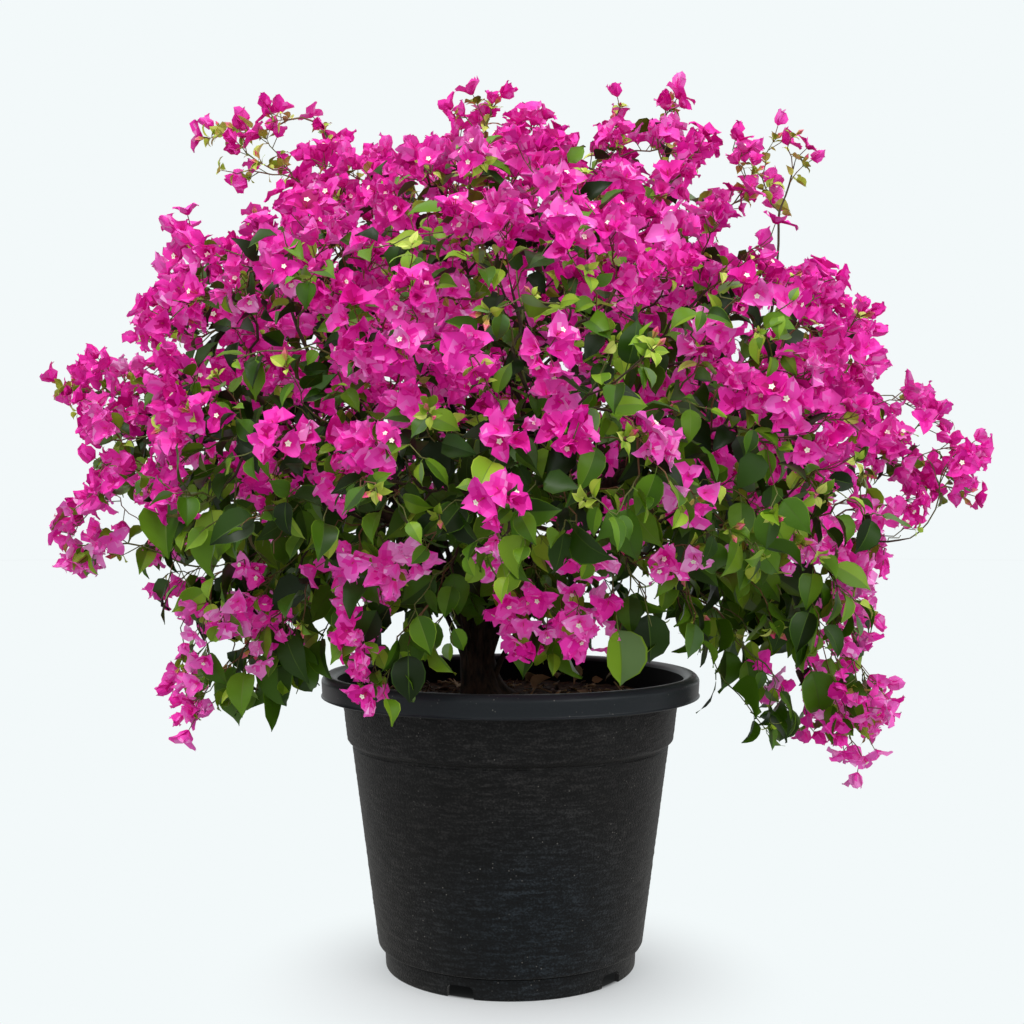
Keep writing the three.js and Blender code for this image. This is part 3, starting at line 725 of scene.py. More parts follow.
# Where the bush shows more leaves or more blossom than its height alone tells: the middle of the
# patch, its radius and its share of blossom in hundredths. A patch reaches twice as far in depth.
PATCHES = np.array([
    # green windows
    (-95, -280, 738, 54, 5), (-40, -320, 688, 42, 5), (20, -330, 683, 50, 10),
    (80, -350, 660, 40, 10), (130, -320, 635, 64, 5), (80, -380, 588, 52, 3),
    (-126, -380, 510, 34, 0), (-45, -400, 512, 34, 0), (-206, -250, 628, 50, 8),
    (81, -300, 685, 32, 10), (15, -400, 508, 30, 0), (-180, -300, 594, 46, 5),
    (-245, -200, 600, 35, 10), (-290, -170, 550, 40, 15), (80, -400, 506, 36, 5),
    (90, -380, 540, 34, 95), (-90, -200, 350, 40, 0), (-50, -380, 575, 28, 30),
    (83, -200, 800, 30, 20), (150, -220, 750, 24, 10), (-216, -280, 566, 62, 5),
    (-215, -280, 508, 55, 0), (120, -360, 500, 42, 10),
    # blossom close together
    (-263, -150, 744, 90, 110), (-370, -50, 610, 65, 80), (-385, -60, 530, 45, 100),
    (-250, -150, 695, 40, 110), (-30, -270, 745, 38, 110), (70, -270, 735, 32, 100),
    (-90, -360, 575, 36, 100), (165, -340, 515, 34, 65), (-95, -330, 632, 45, 100),
    (-130, -350, 588, 40, 100), (33, -380, 590, 45, 100), (4, -400, 547, 46, 100),
    (55, -400, 547, 42, 100), (300, -50, 750, 85, 110), (355, -50, 625, 50, 100),
    (220, -200, 605, 60, 100), (120, -380, 552, 34, 100), (160, -360, 552, 34, 100),
    (-170, -240, 730, 50, 110), (188, -250, 690, 45, 100), (300, -120, 620, 50, 100),
    (310, -100, 550, 60, 75), (-180, -320, 545, 40, 100),
    # clusters among the leaves lower down
    (-130, -270, 455, 42, 95), (-5, -280, 440, 34, 95), (0, -200, 390, 30, 90),
    (57, -300, 470, 24, 90), (66, -200, 405, 34, 90), (140, -280, 452, 22, 90),
    (-139, -250, 365, 36, 85), (270, -150, 500, 45, 60), (346, -20, 465, 55, 100),
    (369, 0, 362, 55, 100), (362, -30, 412, 45, 100), (390, -40, 280, 80, 110),
    (-262, -100, 380, 46, 95), (-300, -100, 362, 35, 100), (-363, -50, 300, 50, 85),
    (-386, 0, 430, 45, 90), (-470, 0, 470, 80, 95), (430, 0, 470, 80, 90),
])
PATCH_MIDDLES, PATCH_RADII = PATCHES[:, :3] / 1000, PATCHES[:, 3] / 1000
PATCH_SHARES = PATCHES[:, 4] / 100
SHARE_HEIGHTS = (0.46, 0.5, 0.53, 0.56, 0.64, 0.7, 0.76, 0.82)
SHARES = (0.02, 0.08, 0.24, 0.56, 0.66, 0.74, 0.92, 1.1)


def bloom_share(point, usual=None):
    nearness = np.linalg.norm((point - PATCH_MIDDLES) * (1, 0.5, 1), axis=1) / PATCH_RADII
    if min(nearness) < 1:
        return PATCH_SHARES[np.argmin(nearness)]
    if usual is not None:
        return usual
    base = np.interp(point[2], SHARE_HEIGHTS, SHARES)
    return base + (0.4 if point[2] > SKIRT_TOP else 0.15) * noise.noise(Vector(point) * 9)


B, L, Y, S = "bloom", "leafy", "young", "sprout"  # kinds of dress
# Sprays whose places the bush fixes: x, z and kind. They lie near the plane y = 0, where
# the bush is widest, and make its outline.
TIPS = [
    (-271, 945, Y), (-200, 912, B), (-332, 888, S), (-285, 895, S), (-330, 925, S),
    (-235, 865, B), (-30, 945, Y), (-60, 930, Y), (118, 945, B), (187, 920, Y), (258, 915, B),
    (285, 905, S), (322, 925, S), (270, 856, B), (262, 880, Y), (30, 940, B), (-224, 893, B),
    (-155, 900, B), (-412, 702, B), (408, 712, B), (-478, 670, B), (-445, 660, B), (-508, 640, S),
    (-500, 612, S), (-476, 502, B), (-485, 447, B), (-425, 482, L), (-440, 610, B), (430, 630, B),
    (468, 618, B), (498, 600, B), (510, 570, B), (522, 520, B), (482, 525, B), (448, 508, B),
    (455, 580, L), (440, 550, B), (418, 505, B), (412, 462, B), (415, 380, Y), (412, 562, B),
    (410, 305, B), (375, 262, B), (345, 250, B), (418, 272, B), (300, 290, L), (338, 306, L),
    (395, 365, B), (272, 325, L), (326, 345, L), (287, 360, L), (262, 352, L), (330, 385, L),
    (300, 400, L), (352, 362, B), (380, 340, B), (-385, 305, B), (-352, 288, B), (-325, 325, L),
    (-300, 395, B), (-272, 362, B), (-255, 360, L), (-400, 460, B), (-392, 425, B),
    (-362, 392, B), (-330, 360, B),
]
# the same for the clusters that hang in front: x, y, z and kind
FRONT_TIPS = [
    (-140, -280, 460, B), (-107, -285, 446, B), (-148, -240, 395, B), (-137, -245, 362, B),
    (-20, -200, 455, B), (-5, -190, 423, B), (9, -190, 375, B), (63, -200, 422, B),
    (63, -200, 380, B), (48.5, -250, 468, B), (138, -250, 455, B), (-256, -150, 410, B),
    (-285, -120, 390, B), (290, -120, 500, B), (310, -120, 475, B), (112, -200, 442, L),
    (-90, -220, 390, L), (190, -100, 432, L), (-60, -200, 408, L), (-240, -120, 350, L),
    (180, -180, 410, L),
]
# large leaves that hang below the rest: x, y and z of the twig's end, and the leaf's length
PENDANTS = np.array([
    (104, -200, 399, 73), (134, -180, 410, 69), (196, -100, 412, 80), (180, -100, 396, 38),
    (-217, -100, 374, 77), (-239, -100, 370, 84), (-298, -50, 348, 92), (298, 0, 290, 56),
    (-97, -240, 373, 58), (-193, -150, 409, 62), (232, -50, 362, 66), (253.5, -50, 351, 63),
    (322, -50, 339, 76), (348, -20, 310, 50),
]) / 1000
TIP_GAP = 0.028
TIP_SHORT = 0.014  # the blossoms of a spray stand this far beyond its tip
TIP_DEPTH = 0.03  # how far in front of or behind the plane y = 0 a tip lies
SHOOT_HEIGHTS = (0.4, 0.53)  # of the leafy shoots from the boughs
SHOOT_GAP = 0.045
SHOOT_REACH = (0.03, 0.11)  # from the bough
OUTER_GAP = 0.04  # between the sprays on the outside of the crown
THIN_GAP = 0.035  # the same on the outlying masses
SAMPLE_STEP = 0.012  # between the places tried on the surface of a mass
CLEAR_STEP = 0.012  # a place counts only if no other mass lies this far outside it
OUTER_DEPTH = (0.02, 0.04)  # of the outer sprays' ends under the surface of their mass
UNDER_DEPTH = (-0.03, 0.02)  # the same on the underside of the crown
SUNK = ("foliage_shoulder_left", "foliage_spray_right", "foliage_spray_left")
SUNK_DEPTH = 0.01  # how much deeper the sprays of these masses end
INNER_GAP = 0.03  # the most that an outer spray keeps the inner ones away
INNER_TRIES = 26000
# gaps between the inner sprays, and their depths under the surface, each by height
DEEP_GAPS = ((0.42, 0.072), (0.5, 0.072), (0.57, 0.056), (0.8, 0.05))
INNER_DEPTHS = ((0.5, 0.0), (0.6, 0.036), (0.72, 0.03), (0.82, 0.012))
SPRAY_ALONG = 0.12  # how much a spray minds how far along the wood it leaves
SPRAY_WOBBLE = 0.003
TWIG_REACH = 0.004  # room that the end of a spray takes in a gap of sky

sprays = []  # (chain of skeleton points, outward direction, kind of dress)


def dress_kind(name, point):
    if "sprig" in name or "spray_upper" in name:
        return "young"
    share = bloom_share(point, 0.85 if "tip" in name or "spray" in name else None)
    return "bloom" if rng.random() < share else "leafy"


def outer_targets():
    """Points a little inside the surface of the crown, with the way out, their spacing and kind."""
    rows = []
    for mass in masses.values():
        if "heart" in mass.name:
            continue
        points, normals = mass.sample(round(mass.areas.sum() / (SAMPLE_STEP**2)))
        for point, normal in zip(points, normals):
            outside = point + normal * CLEAR_STEP
            if any(m.holds(outside) for m in masses.values() if m is not mass):
                continue
            depth = rng.uniform(*OUTER_DEPTH)
            if mass.name in SUNK:
                depth += SUNK_DEPTH
            if normal[2] < -0.5 and not mass.thin:
                depth = rng.uniform(*UNDER_DEPTH)
            target = point - normal * min(depth, 0.32 * (mass.high - mass.low).min())
            if in_gap(target, TWIG_REACH):
                continue
            way_out = unit(normal * 0.7 + unit(point - CROWN_MIDDLE) * 0.5)
            gap = (THIN_GAP if mass.thin else OUTER_GAP) * rng.uniform(0.9, 1.15)
            rows.append((target, way_out, gap, mass.name))
    rows = [rows[i] for i in rng.permutation(len(rows))]
    tips = np.array([[x / 1000, rng.uniform(-TIP_DEPTH, TIP_DEPTH), z / 1000] for x, z, _ in TIPS])
    tips -= unit(tips - CROWN_MIDDLE) * TIP_SHORT
    tips = np.concatenate([tips, np.array([tip[:3] for tip in FRONT_TIPS]) / 1000])
    tip_kinds = [tip[-1] for tip in TIPS + FRONT_TIPS]
    targets, outward, spacing = (
        np.concatenate([first, [row[k] for row in rows]])
        for k, first in enumerate((tips, unit(tips - CROWN_MIDDLE), np.full(len(tips), TIP_GAP))))
    kept = thinned(targets, spacing)
    kinds = [tip_kinds[i] if i < len(tips) else dress_kind(rows[i - len(tips)][3], targets[i])
             for i in kept]
    return targets[kept], outward[kept], spacing[kept], kinds


def clear_of(taken, taken_gaps, points, gaps):
    """Those of the points that keep their gaps from one another and from those already taken."""
    both = np.concatenate([taken, points])
    kept = thinned(both, np.concatenate([taken_gaps, gaps]))
    return both[[i for i in kept if i >= len(taken)]]


def bough_targets():
    """Points round the boughs, for the leafy shoots that hang between the skirts of the crown."""
    points = []
    for name in BOUGHS:
        curve = even(limb_curves[name], 60)[16:]
        for place in np.repeat(curve, 14, axis=0):
            away = unit(rng.normal(0, 1, 3) * (1, 1, 0.8) - UP * 0.3)
            point = place + away * rng.uniform(*SHOOT_REACH)
            if SHOOT_HEIGHTS[0] < point[2] < SHOOT_HEIGHTS[1] and not in_gap(point, TWIG_REACH):
                points.append(point)
    return np.array(points)[rng.permutation(len(points))]


def inner_targets(taken, taken_gaps):
    """Points spread through the inside of the crown, clear of those already taken."""
    solid = [m for m in masses.values() if not m.thin]
    low = np.min([m.low for m in solid], axis=0)
    high = np.max([m.high for m in solid], axis=0)
    points = low + rng.random((INNER_TRIES, 3)) * (high - low)
    points = np.array([p for p in points if any(m.holds(p) for m in solid)])
    further = points + unit(points - CROWN_MIDDLE) * np.interp(points[:, 2:], *zip(*INNER_DEPTHS))
    points = points[[any(m.holds(p) for m in solid) and not in_gap(p, TWIG_REACH) for p in further]]
    gaps = np.interp(points[:, 2], *zip(*DEEP_GAPS))
    return clear_of(taken, np.minimum(taken_gaps, INNER_GAP), points, gaps)


def grow_masses():
    """Stems to every mass, nearest first, and then sprays out through the masses."""
    order = sorted(masses.values(), key=lambda m: np.linalg.norm(m.middle - limb_curves["trunk"][-1]))
    for mass in order:
        heading = unit(mass.middle - CROWN_MIDDLE)
        if mass.thin:
            away = mass.points @ (heading + UP * (-0.7 if "hanging" in mass.name else 0.0))
            target = mass.points[np.argmax(away)] * 0.75 + mass.middle * 0.25
            target = target - unit(target - mass.middle) * 0.012
            chain = skeleton.grow(target, heading, along=0.2, wobble=0.006, hang=STEM_HANG)
            sprays.append((chain, heading, dress_kind(mass.name, target)))
        else:
            skeleton.grow(mass.middle, heading, wobble=0.008)
    targets, outward, spacing, kinds = outer_targets()
    shoots = bough_targets()
    shoots = clear_of(targets, spacing, shoots, np.full(len(shoots), SHOOT_GAP))
    targets = np.concatenate([targets, shoots])
    deep = inner_targets(targets, np.concatenate([spacing, np.full(len(shoots), SHOOT_GAP)]))
    targets = np.concatenate([targets, deep])
    shoots_out = unit(shoots * (1, 1, 0) + UP * -0.1)
    outward = np.concatenate([outward, shoots_out, unit(deep - CROWN_MIDDLE)])
    kinds += ["shoot"] * len(shoots) + ["inner"] * len(deep)
    for i in np.argsort(np.linalg.norm(targets - CROWN_MIDDLE, axis=1)):
        down = -0.6 if targets[i][2] < SKIRT_TOP else 0.0
        heading = unit(outward[i] + UP * down)
        chain = skeleton.grow(targets[i], heading, SPRAY_ALONG, SHOOT_RADIUS, SPRAY_WOBBLE, -0.04)
        sprays.append((chain, outward[i], kinds[i]))
    for place in PENDANTS[:, :3]:
        chain = skeleton.grow(place, -UP, SPRAY_ALONG, SHOOT_RADIUS, SPRAY_WOBBLE, hang=PENDANT_HANG)
        sprays.append((chain, unit(place * (1, 1, 0)), "pendant"))


# ---- twigs ---------------------------------------------------------------------------------
TWIG_RADIUS = 0.0007
TAPER = 0.6  # of a twig at its end
PIPE_POWER = 0.4  # how the thickness of wood grows with the number of tips that it carries
THICK_TWIG, OLD_TWIG = 0.0015, 0.0014  # thicker ones are rounder, and brown


def make_twigs():
    """The wood beyond the boughs, and the stalks, as one mesh."""
    tips = np.zeros(skeleton.count)
    for chain, _, _ in sprays:
        tips[chain[-1]] += 1
    for i in range(skeleton.count - 1, 0, -1):
        if skeleton.parents[i] >= 0:
            tips[skeleton.parents[i]] += tips[i]
    radii = TWIG_RADIUS * np.maximum(tips, 1) ** PIPE_POWER
    radii = np.minimum(radii, skeleton.limit[:skeleton.count])
    for joint, chain in skeleton.branches:
        thick = np.concatenate([[radii[chain[0]]], radii[chain]])
        thick[-1] *= TAPER
        sides = 7 if thick[1] > STEM_RADIUS else 5 if thick[1] > THICK_TWIG else 3
        slot = 0 if thick[1] > OLD_TWIG else rng.integers(1, 3)
        stalks.add(*tube(skeleton.points[np.concatenate([[joint], chain])], thick, sides), slot)
    twigs = stalks.build("twigs", [
        plain("old twig", srgb(64, 50, 34), 0.85),
        plain("green twig", srgb(98, 104, 46), 0.65),
        plain("red twig", srgb(112, 78, 46), 0.65),
    ])
    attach(twigs, "root")


# ---- leaves and blossom --------------------------------------------------------------------
class Shape:
    """A small piece to be copied many times: points, faces and a material number for each face."""

    def __init__(self, parts):
        self.points = np.concatenate([p for p, _, _ in parts])
        self.parts, start = [], 0
        for points, faces, slots in parts:
            faces = np.asarray(faces) + start
            self.parts.append((faces, np.broadcast_to(slots, len(faces))))
            start += len(points)


def copy_shape(heap, shape, frames, places, sizes, palette):
    """Adds copies of shape. frames are (n, 3, 3) rows of axes, and palette (n, k) gives the
    material of each of the shape's material numbers."""
    points = np.einsum("vi,nij->nvj", shape.points, frames) * sizes[:, None, None] + places[:, None]
    count, each = points.shape[:2]
    start = heap.count
    offsets = np.arange(count)[:, None, None] * each
    for faces, slots in shape.parts:
        corners = faces.shape[1]
        heap.faces[corners].append((faces[None] + offsets + start).reshape(-1, corners))
        heap.slots[corners].append(palette[:, slots].reshape(-1))
    heap.points.append(points.reshape(-1, 3))
    heap.count += count * each


def blade(length, half_width, rows, columns, outline, angles, cup, ruffle, fold=0.0, turn=0.0):
    """A leaf or bract as a grid. It leaves the origin along +Z, and bends away from the axis
    towards +X by angles(s). cup lifts its sides, fold creases its midrib and ruffle waves it."""
    s = np.linspace(0, 1, 41)
    slope = angles(s)
    x, z = (np.concatenate([[0], np.cumsum((f[1:] + f[:-1]) / 2 / 40)]) * length
            for f in (np.sin(slope), np.cos(slope)))
    points = np.empty((len(rows), len(columns), 3))
    for i, row in enumerate(rows):
        angle = float(np.interp(row, s, slope))
        lift = np.array([-math.cos(angle), 0, math.sin(angle)])
        centre = np.array([np.interp(row, s, x), 0, np.interp(row, s, z)])
        width = half_width * outline(row)
        for k, w in enumerate(columns):
            rise = cup * width * w * w + fold * width * abs(w) + ruffle(row, w) * abs(w) ** 1.5
            points[i, k] = centre + np.array([0, w * width, 0]) + lift * rise
    cos, sin = math.cos(turn), math.sin(turn)
    points = points @ np.array([[cos, sin, 0], [-sin, cos, 0], [0, 0, 1]])
    return points.reshape(-1, 3), grid_faces(len(rows), len(columns))


BRACT_ROWS = (0, 0.22, 0.54, 0.84, 1)
BRACT_COLUMNS = (-1, -0.55, 0, 0.55, 1)
FINE_ROWS = (0, 0.05, 0.15, 0.32, 0.5, 0.68, 0.85, 1)
FINE_COLUMNS = (-1, -0.93, -0.035, 0.035, 0.93, 1)  # with a rib and margins
COARSE_ROWS = (0, 0.14, 0.4, 0.72, 1)
# what each face of a blossom and of a leaf is painted as; a bract's throat takes painted shade and
# its margin painted highlights, while a bud's throat faces take its own greener base colour
MIDDLE, THROAT, EDGE_HIGHLIGHT, STAR, TUBE, OTHER = range(6)
HALF, RIB, STALK, MARGIN, OTHER_HALF = range(5)


def bract_outline(s):
    return np.interp(s, (0, 0.22, 0.42, 0.54, 0.84, 1), (0.3, 0.88, 1, 0.97, 0.52, 0.01))


def leaf_outline(s):
    return np.interp(s, FINE_ROWS, (0.03, 0.45, 0.82, 1, 0.93, 0.62, 0.22, 0.01))


def bract_slots(color):
    """Painted darker in the throat and paler in places at the margin: painted shade and painted
    highlights.
    """
    rows, columns = len(BRACT_ROWS) - 1, len(BRACT_COLUMNS) - 1
    slots = np.full((rows, columns), color)
    slots[0] = THROAT
    slots[1, rng.integers(1, 3)] = THROAT
    slots[rng.integers(1, rows), rng.choice((0, -1))] = EDGE_HIGHLIGHT
    slots[rng.integers(1, rows), rng.integers(columns)] = EDGE_HIGHLIGHT
    return slots.ravel()


def blossom_shape(openness, stars):
    """Three papery bracts round slender flowers. They stand up as a lantern at an openness of 0
    and spread wide at 1."""
    parts = []

    def between(shut, spread, opened=openness):
        return np.interp(opened, (0, 1), (shut, spread))

    for k in range(3):
        base = math.radians(between(62, 48) + rng.uniform(-8, 8))
        lean = openness * rng.uniform(0.85, 1.15)
        middle = math.radians(between(-4, 74, lean) + rng.uniform(-7, 7))
        flare = middle + math.radians(rng.uniform(18, 62))
        phase, waves = rng.uniform(0, TURN, 2), rng.uniform(5, 10)
        size = rng.uniform(0.05, 0.13)
        cup = between(0.62, 0.22) * rng.uniform(0.7, 1.2)

        def angles(s):
            bend = 0.75 * middle + 0.25 * flare
            return np.interp(s, (0, 0.25, 0.68, 1), (base, middle, bend, flare))

        def ruffle(s, w):
            return size * math.sin(waves * s + phase[0 if w > 0 else 1]) * (0.35 + s)

        turn = 2 * math.pi * k / 3 + rng.uniform(-0.2, 0.2)
        points, faces = blade(rng.uniform(0.88, 1.1), rng.uniform(0.38, 0.45), BRACT_ROWS,
                              BRACT_COLUMNS, bract_outline, angles, cup, ruffle,
                              rng.uniform(0.05, 0.3), turn)
        creases = rng.normal(0, 0.032, (len(points), 3))
        creases[:len(BRACT_COLUMNS)] = 0
        parts.append((points + creases, faces, bract_slots(MIDDLE if k else OTHER)))
    for k in range(2 if stars else 1):
        turn = math.pi * k + rng.uniform(-0.8, 0.8)
        lean = math.radians(rng.uniform(6, 18))
        sin, cos = math.sin(lean), math.cos(lean)
        heading = np.array([sin * math.cos(turn), sin * math.sin(turn), cos])
        open_flower = k < stars
        reach = rng.uniform(0.48, 0.6) if open_flower else rng.uniform(0.3, 0.46)
        path = heading * np.array([[0.02], [0.6 * reach], [reach]])
        girth = (0.018, 0.03, 0.034) if open_flower else (0.018, 0.032, 0.008)
        parts.append((*tube(path, girth, 3), TUBE))
        if open_flower:
            across = unit(np.cross(heading, [0.3, 1, 0.2]))
            along = np.cross(heading, across)
            turns = circle(10)
            radii = np.where(np.arange(10) % 2 == 0, 0.15, 0.1)[:, None]
            spokes = np.cos(turns)[:, None] * across + np.sin(turns)[:, None] * along
            rim = path[-1] + radii * spokes
            star = np.vstack([rim + heading * 0.012, path[-1] - heading * 0.015])
            parts.append((star, [(i, (i + 1) % 10, 10) for i in range(10)], STAR))
    return Shape(parts)


def bud_shape():
    """A young blossom, its three bracts still shut."""
    parts = []
    for k in range(3):
        middle = math.radians(rng.uniform(-8, 2))

        def angles(s):
            return np.interp(s, (0, 0.3, 0.8, 1), (0.75, middle, middle - 0.25, middle + 0.1))

        points, faces = blade(1, 0.26, BRACT_ROWS[::2] + (1,), (-1, 0, 1), bract_outline, angles, 0.5,
                              lambda s, w: 0.0, 0.2, 2 * math.pi * k / 3)
        parts.append((points, faces, [THROAT] * 2 + [MIDDLE] * (len(faces) - 2)))
    return Shape(parts)


def leaf_shape(fine):
    """A leaf on its stalk, of length 1. It grows along +Z and its upper face looks to -X."""
    rows, columns = (FINE_ROWS, FINE_COLUMNS) if fine else (COARSE_ROWS, (-1, 0, 1))
    start = math.radians(rng.uniform(-15, 10))
    droop = math.radians(rng.uniform(10, 75))
    phase = rng.uniform(0, TURN)
    wave = rng.uniform(0.01, 0.036)

    def angles(s):
        return start + droop * s**1.3

    def ruffle(s, w):
        return wave * math.sin(9 * s + phase + (2 if w > 0 else 0))

    stalk = rng.uniform(0.14, 0.22)
    points, faces = blade(1 - stalk, rng.uniform(0.23, 0.3), rows, columns, leaf_outline, angles,
                          rng.uniform(-0.3, 0.3), ruffle, rng.uniform(0.2, 0.75))
    points[:, 2] += stalk
    slots = (MARGIN, HALF, RIB, OTHER_HALF, MARGIN) if fine else (HALF, OTHER_HALF)
    parts = [(points, faces, np.tile(slots, len(rows) - 1))]
    if fine:
        path = np.array([[0.03, 0, 0], [0, 0, stalk + 0.03]])
        parts.append((*tube(path, (0.014, 0.012), 3), STALK))
    return Shape(parts)


BRACT_COLORS = [srgb(*c) for c in (
    (150, 4, 86), (182, 8, 117), (203, 20, 143), (216, 43, 159), (220, 67, 170), (217, 92, 179),
    (220, 124, 190), (226, 156, 206))]
BUD_COLORS = [srgb(*c) for c in ((226, 120, 134), (196, 152, 84), (226, 82, 128))]
FLOWER_COLORS = {"cream": srgb(250, 244, 222), "tube": srgb(196, 84, 96)}
LEAF_COLORS = [srgb(*c) for c in (
    (18, 37, 1), (36, 64, 3), (61, 97, 10), (88, 125, 20), (116, 150, 32), (137, 165, 42),
    (164, 184, 64), (194, 204, 98))]
PAINTED_SHEEN_COLORS = [srgb(*c) for c in ((64, 96, 42), (100, 128, 74))]  # painted sky reflections, on one half of some leaves
RIB_COLORS = [srgb(*c) for c in ((64, 92, 24), (100, 128, 44), (142, 162, 74))]
LAST_LEAF, LAST_BRACT = len(LEAF_COLORS) - 1, len(BRACT_COLORS) - 1
FIRST_PAINTED_SHEEN, FIRST_BUD = LAST_LEAF + 1, LAST_BRACT + 1
FIRST_RIB, FIRST_FLOWER = FIRST_PAINTED_SHEEN + len(PAINTED_SHEEN_COLORS), FIRST_BUD + len(BUD_COLORS)
PIECE_LIMIT = 190000  # triangles


def axes_for(direction, facing):
    """Rows (across, side, along) that take +Z to direction and -X as near to facing as can be."""
    along = unit(direction)
    back = unit(facing - along * (facing * along).sum(-1, keepdims=True))
    return np.stack([-back, np.cross(along, -back), along], -2)


class Crop:
    """Leaves or blossoms gathered before they are copied: place, direction, facing, size, kind of
    shape and materials."""

    def __init__(self):
        self.rows = []

    def add(self, *row):
        self.rows.append(row)

    def build(self, name, shapes, materials, slot):
        """Joins the crop into pieces of no more than the limit."""
        places, directions, facings, sizes, kinds, palette = (
            np.array([row[k] for row in self.rows]) for k in range(6))
        frames = axes_for(directions, facings)
        weight = [sum(len(f) * (f.shape[1] - 2) for f, _ in s.parts) for s in shapes]
        load = np.cumsum([weight[k] for k in kinds])
        pieces = math.ceil(load[-1] / PIECE_LIMIT)
        group = np.minimum(load * pieces // (load[-1] + 1), pieces - 1).astype(int)
        for g in range(pieces):
            heap = Heap()
            for kind, shape in enumerate(shapes):
                pick = (group == g) & (kinds == kind)
                if pick.any():
                    copy_shape(heap, shape, frames[pick], places[pick], sizes[pick], palette[pick])
            piece = heap.build(f"{name}_{g + 1}", materials)
            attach(piece, "root")


leaves, blossoms = Crop(), Crop()
stalks = Heap()
FINE_LEAVES, COARSE_LEAVES = 9, 4
OPEN_BLOSSOMS, BUDS = 16, 3
STALK_RADIUS = 0.00055
NEW_LEAF = 5.8  # the tone of a tuft's leaves
LEAF_REACH = 0.04  # of a leaf or blossom about its middle, as a share of its length
BLOSSOM_REACH = 0.3
BRACT_LENGTHS = (0.0165, 0.0228)
PAINTED_SHEEN_SHARE = 0.14


def near_to(tone, spread, first, last):
    """The number of a colour near to tone."""
    return int(np.clip(round(tone + rng.normal(0, spread)), first, last))


def sideways(heading, turn):
    """A direction across heading, turned round it."""
    across = unit(np.cross(heading, [0.31, 0.2, 0.93]))
    return across * math.cos(turn) + np.cross(heading, across) * math.sin(turn)


def put_leaf(place, direction, facing, size, tone, coarse=False):
    along = unit(direction) * size
    if in_gap(place + np.outer((0.35, 0.6, 0.85), along), LEAF_REACH * size):
        return
    kind = FINE_LEAVES + rng.integers(COARSE_LEAVES) if coarse else rng.integers(FINE_LEAVES)
    color = near_to(tone, 0.7, 0, LAST_LEAF)
    # the other half of the blade is a step lighter or darker at random: painted light and shade
    # across the fold
    half = int(np.clip(color + rng.integers(-1, 2), 0, LAST_LEAF))
    rib = FIRST_RIB + (color > 2) + (color > 4)
    margin = min(color + rng.integers(0, 2), LAST_LEAF)
    # now and then that half takes a painted sky reflection instead
    if 1 <= color <= 4 and rng.random() < PAINTED_SHEEN_SHARE:
        half = FIRST_PAINTED_SHEEN + (color > 2)
    leaves.add(place, direction, facing, size, kind, (color, rib, rib, margin, half))


def put_stalk(start, end):
    points, faces = tube(np.array([start, end]), (STALK_RADIUS * 1.2, STALK_RADIUS), 3)
    stalks.add(points, faces, rng.integers(1, 3))


def put_blossom(node, lean, reach, size, tone):
    """A blossom on a stalk that leaves the twig at node."""
    direction = unit(lean)
    place = node + direction * reach
    if in_gap(place + direction * size * 0.5, BLOSSOM_REACH * size):
        return
    put_stalk(node, place)
    base = near_to(tone, 0.75, 1, 6)
    # a darker tone for the throat's painted shade and a paler one for the margin's painted highlights
    colors = (base, max(base - rng.integers(1, 3), 0), min(base + rng.integers(1, 3), LAST_BRACT),
              FIRST_FLOWER, FIRST_FLOWER + 1, int(np.clip(base + rng.integers(-1, 2), 0, LAST_BRACT)))
    facing = sideways(direction, rng.uniform(0, TURN))
    blossoms.add(place, direction, facing, size, rng.integers(OPEN_BLOSSOMS), colors)


def put_bud(node, lean, size):
    direction = unit(lean)
    place = node + direction * size * 0.6
    put_stalk(node, place)
    color = FIRST_BUD + (2 if rng.random() < 0.4 else 0)
    facing = sideways(direction, rng.uniform(0, TURN))
    blossoms.add(place, direction, facing, size, OPEN_BLOSSOMS + rng.integers(BUDS),
                 (color, FIRST_BUD + 1, *[FIRST_BUD] * 4))


def tuft(tip, heading, size):
    """The growing tip of a twig: a few new leaves round one or two buds."""
    turn = rng.uniform(0, TURN)
    for _ in range(rng.integers(3, 6)):
        turn += GOLDEN_TURN
        side = sideways(heading, turn)
        put_leaf(tip, unit(heading * 0.7 + side), unit(heading - side * 0.3),
                 size * rng.uniform(0.6, 1.2), NEW_LEAF)
    for _ in range(rng.integers(0, 3)):
        turn += GOLDEN_TURN
        put_bud(tip, heading + sideways(heading, turn) * 0.6, size * rng.uniform(0.6, 0.85))


# per kind of spray: how long a stretch is dressed, the gap between leaves, their length, and how
# green they are, from 0 (dark) to 7 (new)
DRESS = {
    "leafy": (0.1, 0.0145, (0.036, 0.056), 2.3),
    "bloom": (0.07, 0.016, (0.026, 0.044), 3.2),
    "young": (0.085, 0.019, (0.022, 0.036), 5.0),
    "shoot": (0.09, 0.0145, (0.04, 0.056), 1.8),
    # the inner sprays' leaves are the darkest: painted shade deep in the crown
    "inner": (0.08, 0.0145, (0.038, 0.054), 0.6),
    "sprout": (0.06, 0.015, (0.016, 0.028), 5.6),
    "pendant": (0.0, 0.0, (0, 0), 1.5),
}

# Leaves are painted paler on the lower skirt and darker just under the crown at 0.5: painted light
# and shade. Towards the top they are paler both for their new growth and as painted light.
HEIGHTS = (0.36, 0.45, 0.5, 0.56, 0.68, 0.78, 0.92)
PALER = (0, 0.5, -0.4, 0.1, 0.5, 1.8, 3.2)  # how much paler leaves are at these heights, as painted light and shade
